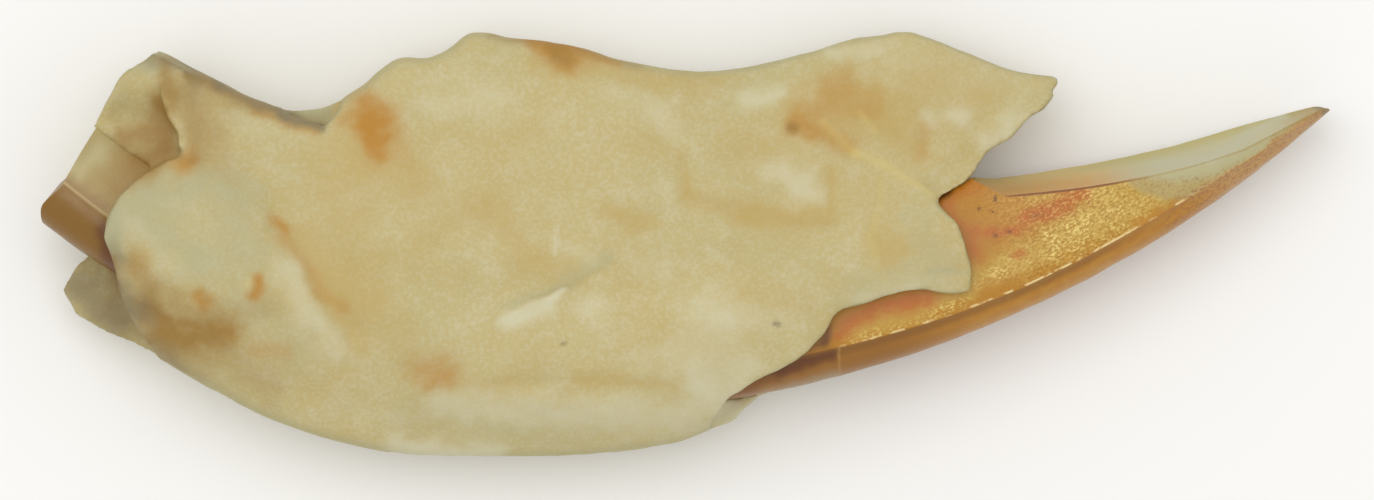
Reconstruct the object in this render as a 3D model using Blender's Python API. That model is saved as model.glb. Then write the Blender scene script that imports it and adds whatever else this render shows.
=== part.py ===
"""Fossil rodent incisor in a broken piece of the right lower jaw, lying on the jaw's inner side.

X runs along the jaw from the root to the tip of the tooth, Y from its lower edge to its upper edge, and Z from
the inner side, on which it lies, to the outer side. The origin is under the middle of the object, at Z = 0.
Lengths and places are in millimetres, and MM turns them into Blender's metres.
"""

import math

import bmesh
import bpy
import numpy as np

MM = 0.001

# The tooth's lower edge is two arcs that meet without a corner. An angle is 0 straight below an arc's centre.
REAR_RADIUS = 44.45
REAR_CENTRE = (-4.8, 36.1)
FRONT_RADIUS = 60.15
JOIN_DEG = 11.15
ROOT_DEG = -38.4
TIP_DEG = 41.8

# The tooth's own size: depth from lower to upper edge, width from inner to outer side, and height of its middle.
ROOT_DEPTH = 5.85
FRONT_DEPTH = 7.3
TOOTH_WIDTH = 5.5
ROOT_MIDDLE = 4.4
FRONT_MIDDLE = 4.2
TIP_DROP = 1.3
TIP_NARROWING = 0.24
UPPER_NARROWING = 0.2
ROOT_LEAN_DEG = 0.22
TOOTH_STATIONS = 44
TIP_CROWDING = 1.25
SECTION_ROUNDING = 0.62
SIDE_POINTS = 19
CREST_POINTS = 4
CREST_TURN = 0.35

# The worn facet that slopes from the upper edge down to the cutting tip, lower on its outer side.
FACET_START_DEG = 24.7
FACET_FALL = 0.367
FACET_TILT = 1.45
FACET_TILT_SHARE = 0.55
FACET_TILT_START_DEG = 23.9
FACET_TILT_RUN_DEG = 2.0
FACET_ROUNDING_DEG = 0.8

# The open pulp cavity in the root end.
PULP_DEPTH = 3.2
PULP_SHARE = 0.5
PULP_START_DEG = ROOT_DEG - 1.2
PULP_STEPS = 6

# The bone's walls round the tooth.
SOCKET_GAP = 0.35
INNER_WALL = 1.45
SOCKET_REACH = 5.7
LOWER_FALL = 0.5
UPPER_FALL = 0.8
SOCKET_START_DEG = ROOT_DEG - 4
SOCKET_END_DEG = FACET_START_DEG + 6
SOCKET_STATIONS = 34
LOWER_LIP = 1.4
BONE_STATIONS = 58
BONE_POINTS = 36
EDGE_ROUNDING = 0.55
FACE_BLEND = 0.9
LOWER_RIM_HEIGHT = 4.0
BONE_START = -33.0
BONE_END = 19.4

# Upper edge of the bone, root to tip: broken rear edge, high point, diastema, front blade.
UPPER_EDGE = [
    (-34.0, 11.2), (-28.0, 10.4), (-26.1, 9.75), (-23.9, 8.5), (-21.0, 7.05), (-19.6, 6.7), (-18.0, 6.9),
    (-16.4, 7.7), (-14.95, 8.8), (-14.2, 9.4), (-12.6, 9.4), (-11.8, 9.8), (-10.9, 10.55), (-10.2, 10.6),
    (-8.9, 10.3), (-5.6, 9.9), (-2.2, 8.95), (0.6, 8.6), (3.2, 8.85), (6.0, 9.6), (8.3, 10.35),
    (9.8, 10.4), (10.9, 10.65), (12.0, 10.4), (14.3, 9.5), (16.2, 8.7), (18.6, 8.3), (20.0, 8.2),
]
# Lower edge of the bone as far as the front break. Past it the edge follows the tooth.
LOWER_EDGE = [
    (-34.0, -2.0), (-30.7, -3.4), (-29.0, -4.45), (-27.7, -5.0), (-24.7, -6.8), (-21.0, -8.75), (-18.0, -9.85),
    (-14.5, -10.45), (-10.0, -10.65), (-5.6, -10.55), (-1.6, -10.15), (1.2, -9.35), (2.4, -8.95),
]
# Thickness of the wall on the socket's outer side, and height of the bone's outer and inner faces, along X.
OUTER_WALL = [(-33.0, 0.75), (-26.0, 0.9), (-18.0, 1.1), (2.0, 1.1), (7.0, 0.7), (11.0, 0.4), (19.4, 0.4)]
OUTER_PLATE = [(-33.0, 7.6), (-22.0, 7.5), (-10.0, 6.8), (0.0, 6.3), (8.0, 5.7), (13.0, 4.9), (19.4, 3.7)]
INNER_PLATE = [(-33.0, 0.8), (-20.0, 0.5), (-9.0, -0.3), (0.0, 0.3), (8.0, 0.9), (13.0, 1.3), (19.4, 1.8)]

# Places well clear of the bone, where the bodies that break pieces off it may end.
FAR_LEFT = -36.0
FAR_RIGHT = 30.0
FAR_DOWN = -12.5
FAR_UP = 12.5
UNDER_ALL = -30.0
OVER_ALL = 30.0

# Broken edges. The outer wall is broken back further than the inner wall at both ends.
BLADE_BREAK = [(18.9, 12.0), (18.55, 8.3), (18.3, 7.4), (17.5, 6.5), (16.2, 5.3), (15.1, 4.6), (14.0, 3.0)]
OUTER_FRONT_BREAK = [
    (13.4, 2.65), (12.8, 2.35), (12.4, 2.1), (12.85, 1.7), (13.35, 1.1), (13.9, 0.1), (14.15, -0.9),
    (14.2, -2.35), (12.6, -2.5), (11.0, -2.35), (9.0, -2.9), (7.5, -3.7), (6.95, -4.7), (5.55, -5.6),
    (3.25, -6.9), (2.1, -7.7), (1.3, -8.9), (1.1, -12.0),
]
INNER_FRONT_BREAK = [
    (13.5, 1.4), (11.9, -1.6), (9.4, -4.3), (6.2, -6.5), (3.7, -7.55), (2.9, -8.3), (2.5, -8.75), (2.1, -9.1),
    (1.8, -12.0),
]
REAR_BREAK = [
    (-25.9, 12.0), (-26.15, 9.75), (-26.7, 9.3), (-27.8, 8.85), (-28.3, 8.3), (-29.25, 6.5), (-30.2, 4.6),
    (-30.9, 2.6), (-30.8, 0.6), (-29.9, -0.5), (-30.6, -1.1), (-31.25, -2.4), (-30.7, -3.4), (-31.5, -12.0),
]
OUTER_REAR_UPPER = [
    (-25.9, 12.0), (-26.05, 9.7), (-26.15, 7.4), (-25.75, 6.3), (-25.25, 5.5), (-25.3, 4.8), (-24.7, 4.4),
    (-25.6, 4.2), (-26.8, 3.5), (-28.0, 2.4),
]
OUTER_REAR_LOWER = [
    (-28.7, 1.2), (-28.85, 0.3), (-28.3, -1.3), (-28.2, -2.3), (-27.5, -3.8), (-26.7, -5.2), (-25.9, -6.6),
    (-25.5, -12.0),
]
UPPER_NOTCH = [(-20.6, 7.4), (-19.8, 6.4), (-18.8, 5.95), (-18.0, 5.75), (-17.3, 6.7), (-16.9, 8.0), (-20.4, 8.4)]
TOOTH_SIDE = [(FAR_LEFT, 6.9), (-30.4, 3.4), (-28.6, 2.1)]
REAR_LEDGE_HEIGHT = 6.75
REAR_FLOOR_HEIGHT = 3.0
UPPER_NOTCH_HEIGHT = 3.7
INNER_WALL_TOP = 3.9
WALL_STEP = 0.12

# Relief of the outer face: the swelling over the tooth's root, and two hollows.
SWELLING_CENTRE = (-22.6, -1.6)
SWELLING_SIZE = (7.6, 4.4)
SWELLING_TURN_DEG = -38.0
SWELLING_HEIGHT = 0.55

# Line, half width and depth of each hollow: the groove in front of the swelling, the thin wall over the crest.
HOLLOWS = [
    ([(-20.3, 1.4), (-19.6, 0.0), (-18.5, -1.3), (-17.6, -3.0), (-16.4, -4.4)], 0.7, 0.4),
    ([(12.9, 2.9), (14.9, 4.3)], 1.0, 1.0),
]

# Mental foramen, the small nerve opening under the diastema.
FORAMEN_PLACE = (5.3, 5.7)
FORAMEN_RADIUS = 0.54
FORAMEN_BOTTOM_RADIUS = 0.12
FORAMEN_DEPTH = 1.5
FORAMEN_SIDES = 12

BONE_COLOUR = (0.55, 0.44, 0.23, 1.0)
TOOTH_COLOUR = (0.42, 0.24, 0.06, 1.0)


def clear_scene():
    for old in list(bpy.data.objects):
        bpy.data.objects.remove(old)


def smooth_through(points, x):
    """Height at x of a smooth curve through points that run along X."""
    xs = np.array([p[0] for p in points])
    ys = np.array([p[1] for p in points])
    slopes = np.gradient(ys, xs)
    i = np.clip(np.searchsorted(xs, x) - 1, 0, len(xs) - 2)
    run = xs[i + 1] - xs[i]
    t = np.clip((x - xs[i]) / run, 0.0, 1.0)
    ends = ys[i] * (2 * t**3 - 3 * t**2 + 1) + ys[i + 1] * (3 * t**2 - 2 * t**3)
    return ends + run * (slopes[i] * (t**3 - 2 * t**2 + t) + slopes[i + 1] * (t**3 - t**2))


def ease(low, high, value):
    """Rises smoothly from 0 at low to 1 at high."""
    t = min(max((value - low) / (high - low), 0.0), 1.0)
    return t * t * (3 - 2 * t)


def soft_max(a, b, blend):
    """The larger of two heights, with a rounded meeting line about as wide as blend."""
    return 0.5 * (a + b + np.sqrt((a - b) ** 2 + blend**2))


def arc_centre(deg):
    """Centre and radius of the arc that the tooth's lower edge follows at an angle."""
    if deg <= JOIN_DEG:
        return REAR_CENTRE, REAR_RADIUS
    turn = math.radians(JOIN_DEG)
    spare = REAR_RADIUS - FRONT_RADIUS
    centre = (REAR_CENTRE[0] + spare * math.sin(turn), REAR_CENTRE[1] - spare * math.cos(turn))
    return centre, FRONT_RADIUS


def tooth_depth(deg):
    share = (deg - ROOT_DEG) / (FACET_START_DEG - ROOT_DEG)
    return ROOT_DEPTH + (FRONT_DEPTH - ROOT_DEPTH) * min(max(share, 0.0), 1.0)


def tooth_middle(deg):
    share = (deg - ROOT_DEG) / (FACET_START_DEG - ROOT_DEG)
    drop = TIP_DROP * (max(deg - JOIN_DEG, 0.0) / (TIP_DEG - JOIN_DEG)) ** 2
    return ROOT_MIDDLE + (FRONT_MIDDLE - ROOT_MIDDLE) * share - drop


def tooth_width(deg):
    share = max(deg - FACET_START_DEG, 0.0) / (TIP_DEG - FACET_START_DEG)
    return TOOTH_WIDTH * (1.0 - TIP_NARROWING * share**2)


def facet_depth(deg):
    """Depth of tooth left under the worn facet, at its inner side."""
    left = FRONT_DEPTH - FACET_FALL * (deg - FACET_START_DEG)
    return left * (1.0 - math.exp((deg - TIP_DEG - 0.1) / FACET_ROUNDING_DEG))


def section_point(deg, turn, grow):
    """Depth and sideways reach of the unworn cross-section: widest over the enamel, narrower above it."""
    share = (1 - math.cos(turn)) / 2
    half = (tooth_width(deg) / 2 + grow) * (1 - UPPER_NARROWING * share)
    side = math.copysign(abs(math.sin(turn)) ** SECTION_ROUNDING, math.sin(turn)) * half
    return -grow + (tooth_depth(deg) + 2 * grow) * share, side


def facet_meeting(deg, sign):
    """Where the side of the tooth meets the worn facet, as a turn from the middle of the enamel."""
    facet = facet_depth(deg)
    tilt = min(FACET_TILT, FACET_TILT_SHARE * facet)
    tilt *= ease(FACET_TILT_START_DEG, FACET_TILT_START_DEG + FACET_TILT_RUN_DEG, deg)
    low = 0.0
    high = math.pi - CREST_TURN
    for _ in range(24):
        middle = (low + high) / 2
        inward, side = section_point(deg, sign * middle, 0.0)
        if inward < facet - tilt * (2 * side / tooth_width(deg) + 1) / 2:
            low = middle
        else:
            high = middle
    return sign * low


def tooth_ring(deg, grow=0.0, lean=0.0):
    """One closed cross-section: round the enamel and sides, then straight across the crest or worn facet."""
    outer = facet_meeting(deg, 1) if grow == 0 else math.pi - CREST_TURN
    inner = facet_meeting(deg, -1) if grow == 0 else CREST_TURN - math.pi
    turns = [inner + (outer - inner) * i / (SIDE_POINTS - 1) for i in range(SIDE_POINTS)]
    section = [section_point(deg, turn, grow) for turn in turns]
    last = np.array(section[-1])
    across = np.array(section[0]) - last
    section += [tuple(last + across * i / CREST_POINTS) for i in range(1, CREST_POINTS)]
    centre, radius = arc_centre(deg)
    ring = []
    for inward, side in section:
        angle = math.radians(deg - lean * inward)
        reach = radius - inward
        ring.append((centre[0] + reach * math.sin(angle), centre[1] - reach * math.cos(angle),
                     tooth_middle(deg) + side))
    return ring


def depth_in_tooth(x, y):
    """How far a point of the XY plane lies inside the tooth's lower edge, and the angle that it lies at."""
    turn = math.atan2(x - REAR_CENTRE[0], REAR_CENTRE[1] - y)
    centre, radius = arc_centre(math.degrees(turn))
    if radius == FRONT_RADIUS:
        turn = math.atan2(x - centre[0], centre[1] - y)
    return radius - math.hypot(x - centre[0], y - centre[1]), math.degrees(turn)


def lower_edge(x):
    """Lower edge of the bone, which follows the tooth past the front break."""
    if x <= LOWER_EDGE[-1][0]:
        return float(smooth_through(LOWER_EDGE, x))
    centre, radius = arc_centre(TIP_DEG)
    return centre[1] - math.sqrt((radius + LOWER_LIP) ** 2 - (x - centre[0]) ** 2)


def swelling(x, y):
    turn = math.radians(SWELLING_TURN_DEG)
    dx = x - SWELLING_CENTRE[0]
    dy = y - SWELLING_CENTRE[1]
    along = (dx * math.cos(turn) + dy * math.sin(turn)) / SWELLING_SIZE[0]
    across = (dy * math.cos(turn) - dx * math.sin(turn)) / SWELLING_SIZE[1]
    return SWELLING_HEIGHT * math.exp(-((along**2 + across**2) ** 2))


def hollows(x, y):
    """How far the hollows sink the outer face at one point."""
    sunk = 0.0
    for line, width, depth in HOLLOWS:
        nearest = min(distance_to_run(x, y, a, b) for a, b in zip(line, line[1:]))
        sunk += depth * math.exp(-((nearest / width) ** 2))
    return sunk


def distance_to_run(x, y, a, b):
    run = (b[0] - a[0], b[1] - a[1])
    share = ((x - a[0]) * run[0] + (y - a[1]) * run[1]) / (run[0] ** 2 + run[1] ** 2)
    share = min(max(share, 0.0), 1.0)
    return math.hypot(x - a[0] - share * run[0], y - a[1] - share * run[1])


def bone_faces(x, y):
    """Heights of the bone's inner and outer face over one point of the XY plane."""
    inward, deg = depth_in_tooth(x, y)
    off_middle = (inward - tooth_depth(deg) / 2) / SOCKET_REACH
    round_share = max(0.0, 1 - off_middle**2) ** (UPPER_FALL if off_middle > 0 else LOWER_FALL)
    middle = tooth_middle(min(deg, FACET_START_DEG))
    half = TOOTH_WIDTH / 2 + SOCKET_GAP
    over_socket = middle + (half + smooth_through(OUTER_WALL, x)) * round_share
    under_socket = middle - (half + INNER_WALL) * round_share
    outer = soft_max(over_socket, smooth_through(OUTER_PLATE, x), FACE_BLEND)
    inner = -soft_max(-under_socket, -smooth_through(INNER_PLATE, x), FACE_BLEND)
    return float(inner), float(outer) + swelling(x, y) - hollows(x, y)


def bone_ring(x):
    """One closed cross-section of the unbroken bone across X, flat where it meets the surface it lies on."""
    low = lower_edge(x)
    high = float(smooth_through(UPPER_EDGE, x))
    plate_middle = float(smooth_through(OUTER_PLATE, x) + smooth_through(INNER_PLATE, x)) / 2
    ring = []
    for k in range(BONE_POINTS):
        turn = 2 * math.pi * (k + 0.5) / BONE_POINTS
        share = (1 - math.cos(turn)) / 2
        y = low + (high - low) * share
        inner, outer = bone_faces(x, y)
        rim = LOWER_RIM_HEIGHT + (plate_middle - LOWER_RIM_HEIGHT) * share
        fullness = abs(math.sin(turn)) ** EDGE_ROUNDING
        z = rim + ((outer - rim) if math.sin(turn) > 0 else (inner - rim)) * fullness
        ring.append((x, y, max(z, 0.0)))
    return ring


def loft(name, rings):
    """A closed body through rings of points."""
    bm = bmesh.new()
    rows = [[bm.verts.new((x * MM, y * MM, z * MM)) for x, y, z in ring] for ring in rings]
    for a, b in zip(rows, rows[1:]):
        for i in range(len(a)):
            j = (i + 1) % len(a)
            bm.faces.new((a[i], a[j], b[j], b[i]))
    bm.faces.new(rows[0][::-1])
    bm.faces.new(rows[-1])
    return to_object(name, bm)


def prism(name, outline, low, high):
    """A straight body over a closed outline in the XY plane, used to break bone away."""
    bm = bmesh.new()
    bottom = [bm.verts.new((x * MM, y * MM, low * MM)) for x, y in outline]
    top = [bm.verts.new((x * MM, y * MM, high * MM)) for x, y in outline]
    for i in range(len(outline)):
        j = (i + 1) % len(outline)
        bm.faces.new((bottom[i], bottom[j], top[j], top[i]))
    bm.faces.new(bottom[::-1])
    bm.faces.new(top)
    return as_cutter(to_object(name, bm))


def make_foramen():
    """A narrow cone that points down into the bone's outer face, as deep below the face as it is high above it."""
    top_radius = 2 * FORAMEN_RADIUS - FORAMEN_BOTTOM_RADIUS
    bm = bmesh.new()
    bmesh.ops.create_cone(bm, cap_ends=True, segments=FORAMEN_SIDES, radius1=FORAMEN_BOTTOM_RADIUS * MM,
                          radius2=top_radius * MM, depth=2 * FORAMEN_DEPTH * MM)
    face = bone_faces(*FORAMEN_PLACE)[1]
    bmesh.ops.translate(bm, verts=bm.verts, vec=(FORAMEN_PLACE[0] * MM, FORAMEN_PLACE[1] * MM, face * MM))
    return as_cutter(to_object("foramen", bm))


def to_object(name, bm):
    bmesh.ops.recalc_face_normals(bm, faces=bm.faces)
    if bm.calc_volume(signed=True) < 0:
        bmesh.ops.reverse_faces(bm, faces=bm.faces)
    mesh = bpy.data.meshes.new(name)
    bm.to_mesh(mesh)
    bm.free()
    made = bpy.data.objects.new(name, mesh)
    bpy.context.collection.objects.link(made)
    return made


def as_cutter(made):
    made.hide_render = True
    made.display_type = "WIRE"
    return made


def cut(body, cutter):
    step = body.modifiers.new(cutter.name, "BOOLEAN")
    step.operation = "DIFFERENCE"
    step.solver = "EXACT"
    step.object = cutter


def finish(made, colour, roughness):
    material = bpy.data.materials.new(made.name)
    material.use_nodes = True
    shader = material.node_tree.nodes["Principled BSDF"]
    shader.inputs["Base Color"].default_value = colour
    shader.inputs["Roughness"].default_value = roughness
    shader.inputs["Metallic"].default_value = 0.0
    made.data.materials.append(material)
    made.data.shade_smooth()
    made.data.set_sharp_from_angle(angle=math.radians(40))


def tooth_angles():
    """Angles of the tooth's cross-sections, closer together towards the tip."""
    shares = [i / TOOTH_STATIONS for i in range(TOOTH_STATIONS + 1)]
    return [ROOT_DEG + (TIP_DEG - ROOT_DEG) * (1 - (1 - s) ** TIP_CROWDING) for s in shares]


def make_incisor():
    rings = [tooth_ring(deg, lean=ROOT_LEAN_DEG * (i == 0)) for i, deg in enumerate(tooth_angles())]
    tooth = loft("incisor", rings)
    cut(tooth, make_pulp_cavity())
    finish(tooth, TOOTH_COLOUR, 0.35)


def make_pulp_cavity():
    """A tapering hollow that follows the tooth's own curve in from the root."""
    end = ROOT_DEG + math.degrees(PULP_DEPTH / REAR_RADIUS)
    rings = []
    for i in range(PULP_STEPS + 1):
        share = i / PULP_STEPS
        deg = PULP_START_DEG + (end - PULP_START_DEG) * share
        outside = tooth_ring(deg)
        middle = np.mean(outside, axis=0)
        scale = PULP_SHARE * math.sqrt(max(1 - share**2, 0.02))
        rings.append([tuple(middle + (np.array(p) - middle) * scale) for p in outside])
    return as_cutter(loft("pulp_cavity", rings))


def make_socket():
    """The curved space that the tooth fills, a little larger than the tooth."""
    span = SOCKET_END_DEG - SOCKET_START_DEG
    angles = [SOCKET_START_DEG + span * i / SOCKET_STATIONS for i in range(SOCKET_STATIONS + 1)]
    return as_cutter(loft("socket", [tooth_ring(deg, grow=SOCKET_GAP) for deg in angles]))


def make_breaks():
    """The bodies of bone that are missing at the front, at the rear and in the upper edge."""
    right = [(FAR_RIGHT, FAR_DOWN), (FAR_RIGHT, FAR_UP)]
    left = [(FAR_LEFT, FAR_DOWN), (FAR_LEFT, FAR_UP)]
    inner_front = [(x + WALL_STEP, y) for x, y in BLADE_BREAK + INNER_FRONT_BREAK]
    under_root = TOOTH_SIDE + [(x - WALL_STEP, y) for x, y in OUTER_REAR_LOWER]
    return [
        prism("outer_front", BLADE_BREAK + OUTER_FRONT_BREAK + right, INNER_WALL_TOP, OVER_ALL),
        prism("inner_front", inner_front + right, UNDER_ALL, INNER_WALL_TOP + WALL_STEP),
        prism("rear", REAR_BREAK + left, UNDER_ALL, OVER_ALL),
        prism("outer_rear", OUTER_REAR_UPPER + OUTER_REAR_LOWER + left, REAR_LEDGE_HEIGHT, OVER_ALL),
        prism("upper_notch", UPPER_NOTCH, UPPER_NOTCH_HEIGHT, OVER_ALL),
        prism("under_root", under_root + left[:1], REAR_FLOOR_HEIGHT, REAR_LEDGE_HEIGHT + WALL_STEP),
    ]


def make_jaw_bone():
    xs = [BONE_START + (BONE_END - BONE_START) * i / BONE_STATIONS for i in range(BONE_STATIONS + 1)]
    bone = loft("jaw_bone", [bone_ring(x) for x in xs])
    cut(bone, make_socket())
    for missing in make_breaks():
        cut(bone, missing)
    cut(bone, make_foramen())
    finish(bone, BONE_COLOUR, 0.6)


clear_scene()
make_incisor()
make_jaw_bone()
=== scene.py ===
import math

import bmesh
import bpy
import numpy as np
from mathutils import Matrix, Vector, noise


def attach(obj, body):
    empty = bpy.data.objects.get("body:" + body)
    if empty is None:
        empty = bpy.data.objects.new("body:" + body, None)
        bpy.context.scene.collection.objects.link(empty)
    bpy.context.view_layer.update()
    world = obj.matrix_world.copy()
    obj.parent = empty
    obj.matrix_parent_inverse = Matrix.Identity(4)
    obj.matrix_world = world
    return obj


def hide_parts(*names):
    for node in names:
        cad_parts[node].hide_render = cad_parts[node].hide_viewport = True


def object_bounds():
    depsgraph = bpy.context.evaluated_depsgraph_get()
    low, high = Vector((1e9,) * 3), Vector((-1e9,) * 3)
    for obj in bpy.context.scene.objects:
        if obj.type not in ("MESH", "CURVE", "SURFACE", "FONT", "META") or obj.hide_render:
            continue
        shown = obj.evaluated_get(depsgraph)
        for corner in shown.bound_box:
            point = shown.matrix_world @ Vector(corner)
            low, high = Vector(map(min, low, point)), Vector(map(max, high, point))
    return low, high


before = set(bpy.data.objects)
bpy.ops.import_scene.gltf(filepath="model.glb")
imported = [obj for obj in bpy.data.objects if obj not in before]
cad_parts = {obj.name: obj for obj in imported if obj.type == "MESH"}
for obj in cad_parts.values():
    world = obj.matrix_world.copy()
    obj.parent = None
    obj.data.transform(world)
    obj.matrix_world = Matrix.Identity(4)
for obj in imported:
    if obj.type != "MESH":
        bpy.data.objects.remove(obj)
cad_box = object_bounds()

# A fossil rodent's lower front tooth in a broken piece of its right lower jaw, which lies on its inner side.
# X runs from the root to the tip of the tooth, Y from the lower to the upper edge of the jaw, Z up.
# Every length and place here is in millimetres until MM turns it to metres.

MM = 0.001

# Tooth. Its lower edge is two arcs that meet without a corner. An angle is 0 straight below an arc's centre.
REAR_RADIUS = 44.45
REAR_CENTRE = (-4.8, 36.1)
FRONT_RADIUS = 60.15
JOIN_DEG = 11.15
ROOT_DEG = -38.4
TIP_DEG = 41.8
ROOT_DEPTH = 5.85
FRONT_DEPTH = 7.3
TOOTH_WIDTH = 5.5
ROOT_MIDDLE = 4.4
FRONT_MIDDLE = 4.2
TIP_DROP = 1.3
TIP_NARROWING = 0.24
UPPER_NARROWING = 0.2

# Root end. It leans with depth, its enamel corner is rounded, and its dentine is set back from the enamel.
ROOT_LEAN_DEG = 0.22
ROOT_LEAN_START_DEG = -36.5
ROOT_CORNER = 0.9
ROOT_CORNER_RUN = 0.42
ROOT_SETBACK = 0.46
ROOT_SETBACK_RISE = (0.5, 2.3)

# Cross-section of the tooth, and the points of each side and of the crest in one row.
SECTION_ROUNDING = 0.62
CREST_TURN = 0.35
SIDE_POINTS = 120
CREST_POINTS = 34
CREST_SHARES = np.linspace(0, 1, CREST_POINTS + 2)[1:-1]

# Rows of the tooth's mesh: start, end and count of each stretch. They are closest at the blunt tip.
TIP_RUN_DEG = 0.5
TIP_ROWS = 24
ROW_STRETCHES = [(ROOT_DEG, -25.0, 69), (-25.0, 9.5, 59), (9.5, TIP_DEG - TIP_RUN_DEG, 305)]

# Worn facet on top of the tip. Its outer edge lies lower than its inner one, and wear has hollowed it.
FACET_START_DEG = 24.7
FACET_TILT = 1.45
FACET_TILT_SHARE = 0.55
FACET_TILT_START_DEG = 23.9
FACET_TILT_RUN_DEG = 2.0
FACET_HOLLOW = 0.16
FACET_HOLLOW_SHARE = 0.1
# Halvings that find where the tooth's side meets the facet.
HALVINGS = 24

# Depth of tooth left under the worn facet, at its inner side, by angle. The tip ends blunt.
FACET_LEFT = [
    (24.7, 7.3), (30, 5.36), (34.5, 3.66), (38.4, 2.2), (40.2, 1.35), (41, 0.94), (41.3, 0.77),
    (41.5, 0.63), (41.65, 0.47), (41.75, 0.29), (41.79, 0.14), (41.8, 0.02),
]

# Open pulp cavity in the root end.
PULP_DEPTH = 3.2
PULP_SHARE = 0.5
PULP_BLUNTNESS = 0.02
PULP_ROWS = 14

# Depth at which the hard enamel of the lower edge ends on the tooth's side, by angle.
ENAMEL_EDGE = [
    (-39, 2.35), (-20, 2), (11, 1.6), (16, 1.4), (24, 1.15), (33, 1), (38, 0.7), (41, 0.4), (42, 0.3),
]

# Small forms of the tooth: the enamel's raised edge, the groove under it, the hollow side, and chance waves
# of a height, size of a patch and layers. They fade out over the last degrees at both ends.
ENAMEL_RIDGE = 0.05
ENAMEL_RIDGE_WIDTH = 0.1
ENAMEL_GROOVE = 0.07
ENAMEL_GROOVE_PLACE = 0.32
ENAMEL_GROOVE_WIDTH = 0.2
DENTINE_HOLLOW = 0.1
HOLLOW_OVER_ENAMEL = (0.2, 1.6)
HOLLOW_UNDER_FACET = (0.0, 1.2)
FAR_UNDER_FACET = 9.0
TOOTH_WAVES = (0.03, 1.6, 2)
TIP_FADE_DEG = 3.0
ROOT_FADE_DEG = 0.6
CRISP_EDGE_DEG = 40
# The dentine's crackle is this many times as long as it is wide.
CRACKLE_STRETCH = 1.7

# Bone round the tooth. It overlaps the tooth a little, so that no light shows between the two.
SOCKET_GAP = -0.08
SOCKET_DEG = (ROOT_DEG - 4.0, FACET_START_DEG + 6.0)
SOCKET_ROWS = 90
WALL_GAP = 0.35
INNER_WALL = 1.45
SOCKET_REACH = 5.7
LOWER_FALL = 0.5
UPPER_FALL = 0.8
LOWER_LIP = 1.4
EDGE_ROUNDING = 0.55
FACE_BLEND = 0.9
LOWER_RIM_HEIGHT = 4.0
BONE_START = -33.0
BONE_END = 19.4
BONE_STATION = 0.25
BONE_POINTS = 120
BONE_VOXEL = 0.195
WEAR_PASSES = 3

UPPER_EDGE = [
    (-34, 11), (-28, 10.2), (-26.1, 9.5), (-23.9, 8.4), (-21, 7), (-19.6, 6.7), (-18, 6.9), (-16.4, 7.8),
    (-15.15, 8.8), (-14.5, 9.2), (-12.6, 9.4), (-11.8, 9.8), (-10.9, 10.55), (-10.2, 10.6), (-8.9, 10.3),
    (-5.6, 9.9), (-2.2, 8.95), (0.6, 8.6), (3.2, 8.85), (6, 9.55), (8.3, 10.22), (9.8, 10.4),
    (10.9, 10.65), (12, 10.4), (14.3, 9.5), (16.2, 8.7), (18.6, 8.3), (20, 8.2),
]
LOWER_EDGE = [
    (-34, -2.2), (-30.7, -3.65), (-29, -4.6), (-27.7, -5.1), (-24.7, -6.7), (-21, -8.65), (-18, -9.75),
    (-14.5, -10.45), (-10, -10.65), (-5.6, -10.55), (-1.6, -10.15), (-0.3, -9.95), (1.2, -9.35),
    (2.4, -8.95),
]
OUTER_WALL = [(-33, 0.75), (-26, 0.9), (-18, 1.1), (2, 1.1), (7, 0.7), (11, 0.4), (19.4, 0.4)]
OUTER_PLATE = [(-33, 7.6), (-22, 7.5), (-10, 6.8), (0, 6.3), (8, 5.7), (13, 4.9), (19.4, 3.7)]
INNER_PLATE = [(-33, 0.8), (-20, 0.5), (-9, -0.3), (0, 0.3), (8, 0.9), (13, 1.3), (19.4, 1.8)]

# Broken edges.
BLADE_BREAK = [
    (18.9, 12), (18.6, 8.4), (18.5, 7.95), (18.2, 7.75), (18.3, 7.3), (17.9, 6.75), (17.3, 6.45),
    (16.8, 5.95), (16.2, 5.3), (15.6, 4.95), (15.1, 4.6), (14.6, 4), (14.25, 3.35), (14, 3),
]
OUTER_FRONT_BREAK = [
    (13.4, 2.65), (12.8, 2.35), (12.4, 2.1), (12.85, 1.7), (13.35, 1.1), (13.9, 0.1), (14.15, -0.9),
    (14.2, -2.35), (12.6, -2.5), (11, -2.35), (9, -2.9), (7.25, -3.6), (6.75, -4.5), (6.1, -5.3),
    (5.4, -5.75), (3.25, -6.9), (2.1, -7.7), (1.3, -8.9), (1.1, -12),
]
INNER_FRONT_BREAK = [
    (13.5, 1.4), (11.9, -1.6), (9.4, -4.3), (6.2, -6.5), (3.7, -7.55), (2.9, -8.3), (2.5, -8.75),
    (2.1, -9.1), (1.8, -12),
]
REAR_BREAK = [
    (-25.9, 12), (-26.3, 9.6), (-26.8, 9.1), (-27.8, 8.6), (-28.25, 8.05), (-29.15, 6.45), (-30.1, 4.55),
    (-30.9, 2.6), (-30.8, 0.6), (-29.9, -0.5), (-30.6, -1.1), (-31.25, -2.4), (-30.7, -3.4), (-31.5, -12),
]
OUTER_REAR_UPPER = [
    (-25.9, 12), (-26.05, 9.7), (-26.15, 7.4), (-25.75, 6.3), (-25.25, 5.5), (-25.3, 4.8), (-24.7, 4.4),
    (-25.6, 4.2), (-26.8, 3.5), (-28, 2.4),
]
OUTER_REAR_LOWER = [
    (-28.7, 1.2), (-28.85, 0.3), (-28.3, -1.3), (-28.2, -2.3), (-27.5, -3.8), (-26.7, -5.2),
    (-25.9, -6.6), (-25.5, -12),
]
UPPER_NOTCH = [
    (-20.6, 7.4), (-19.8, 6.4), (-18.8, 5.95), (-18, 5.75), (-17.3, 6.7), (-16.9, 8), (-20.4, 8.4),
]
TOOTH_SIDE = [(-36, 6.9), (-30.4, 3.4), (-28.6, 2.1)]
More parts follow.
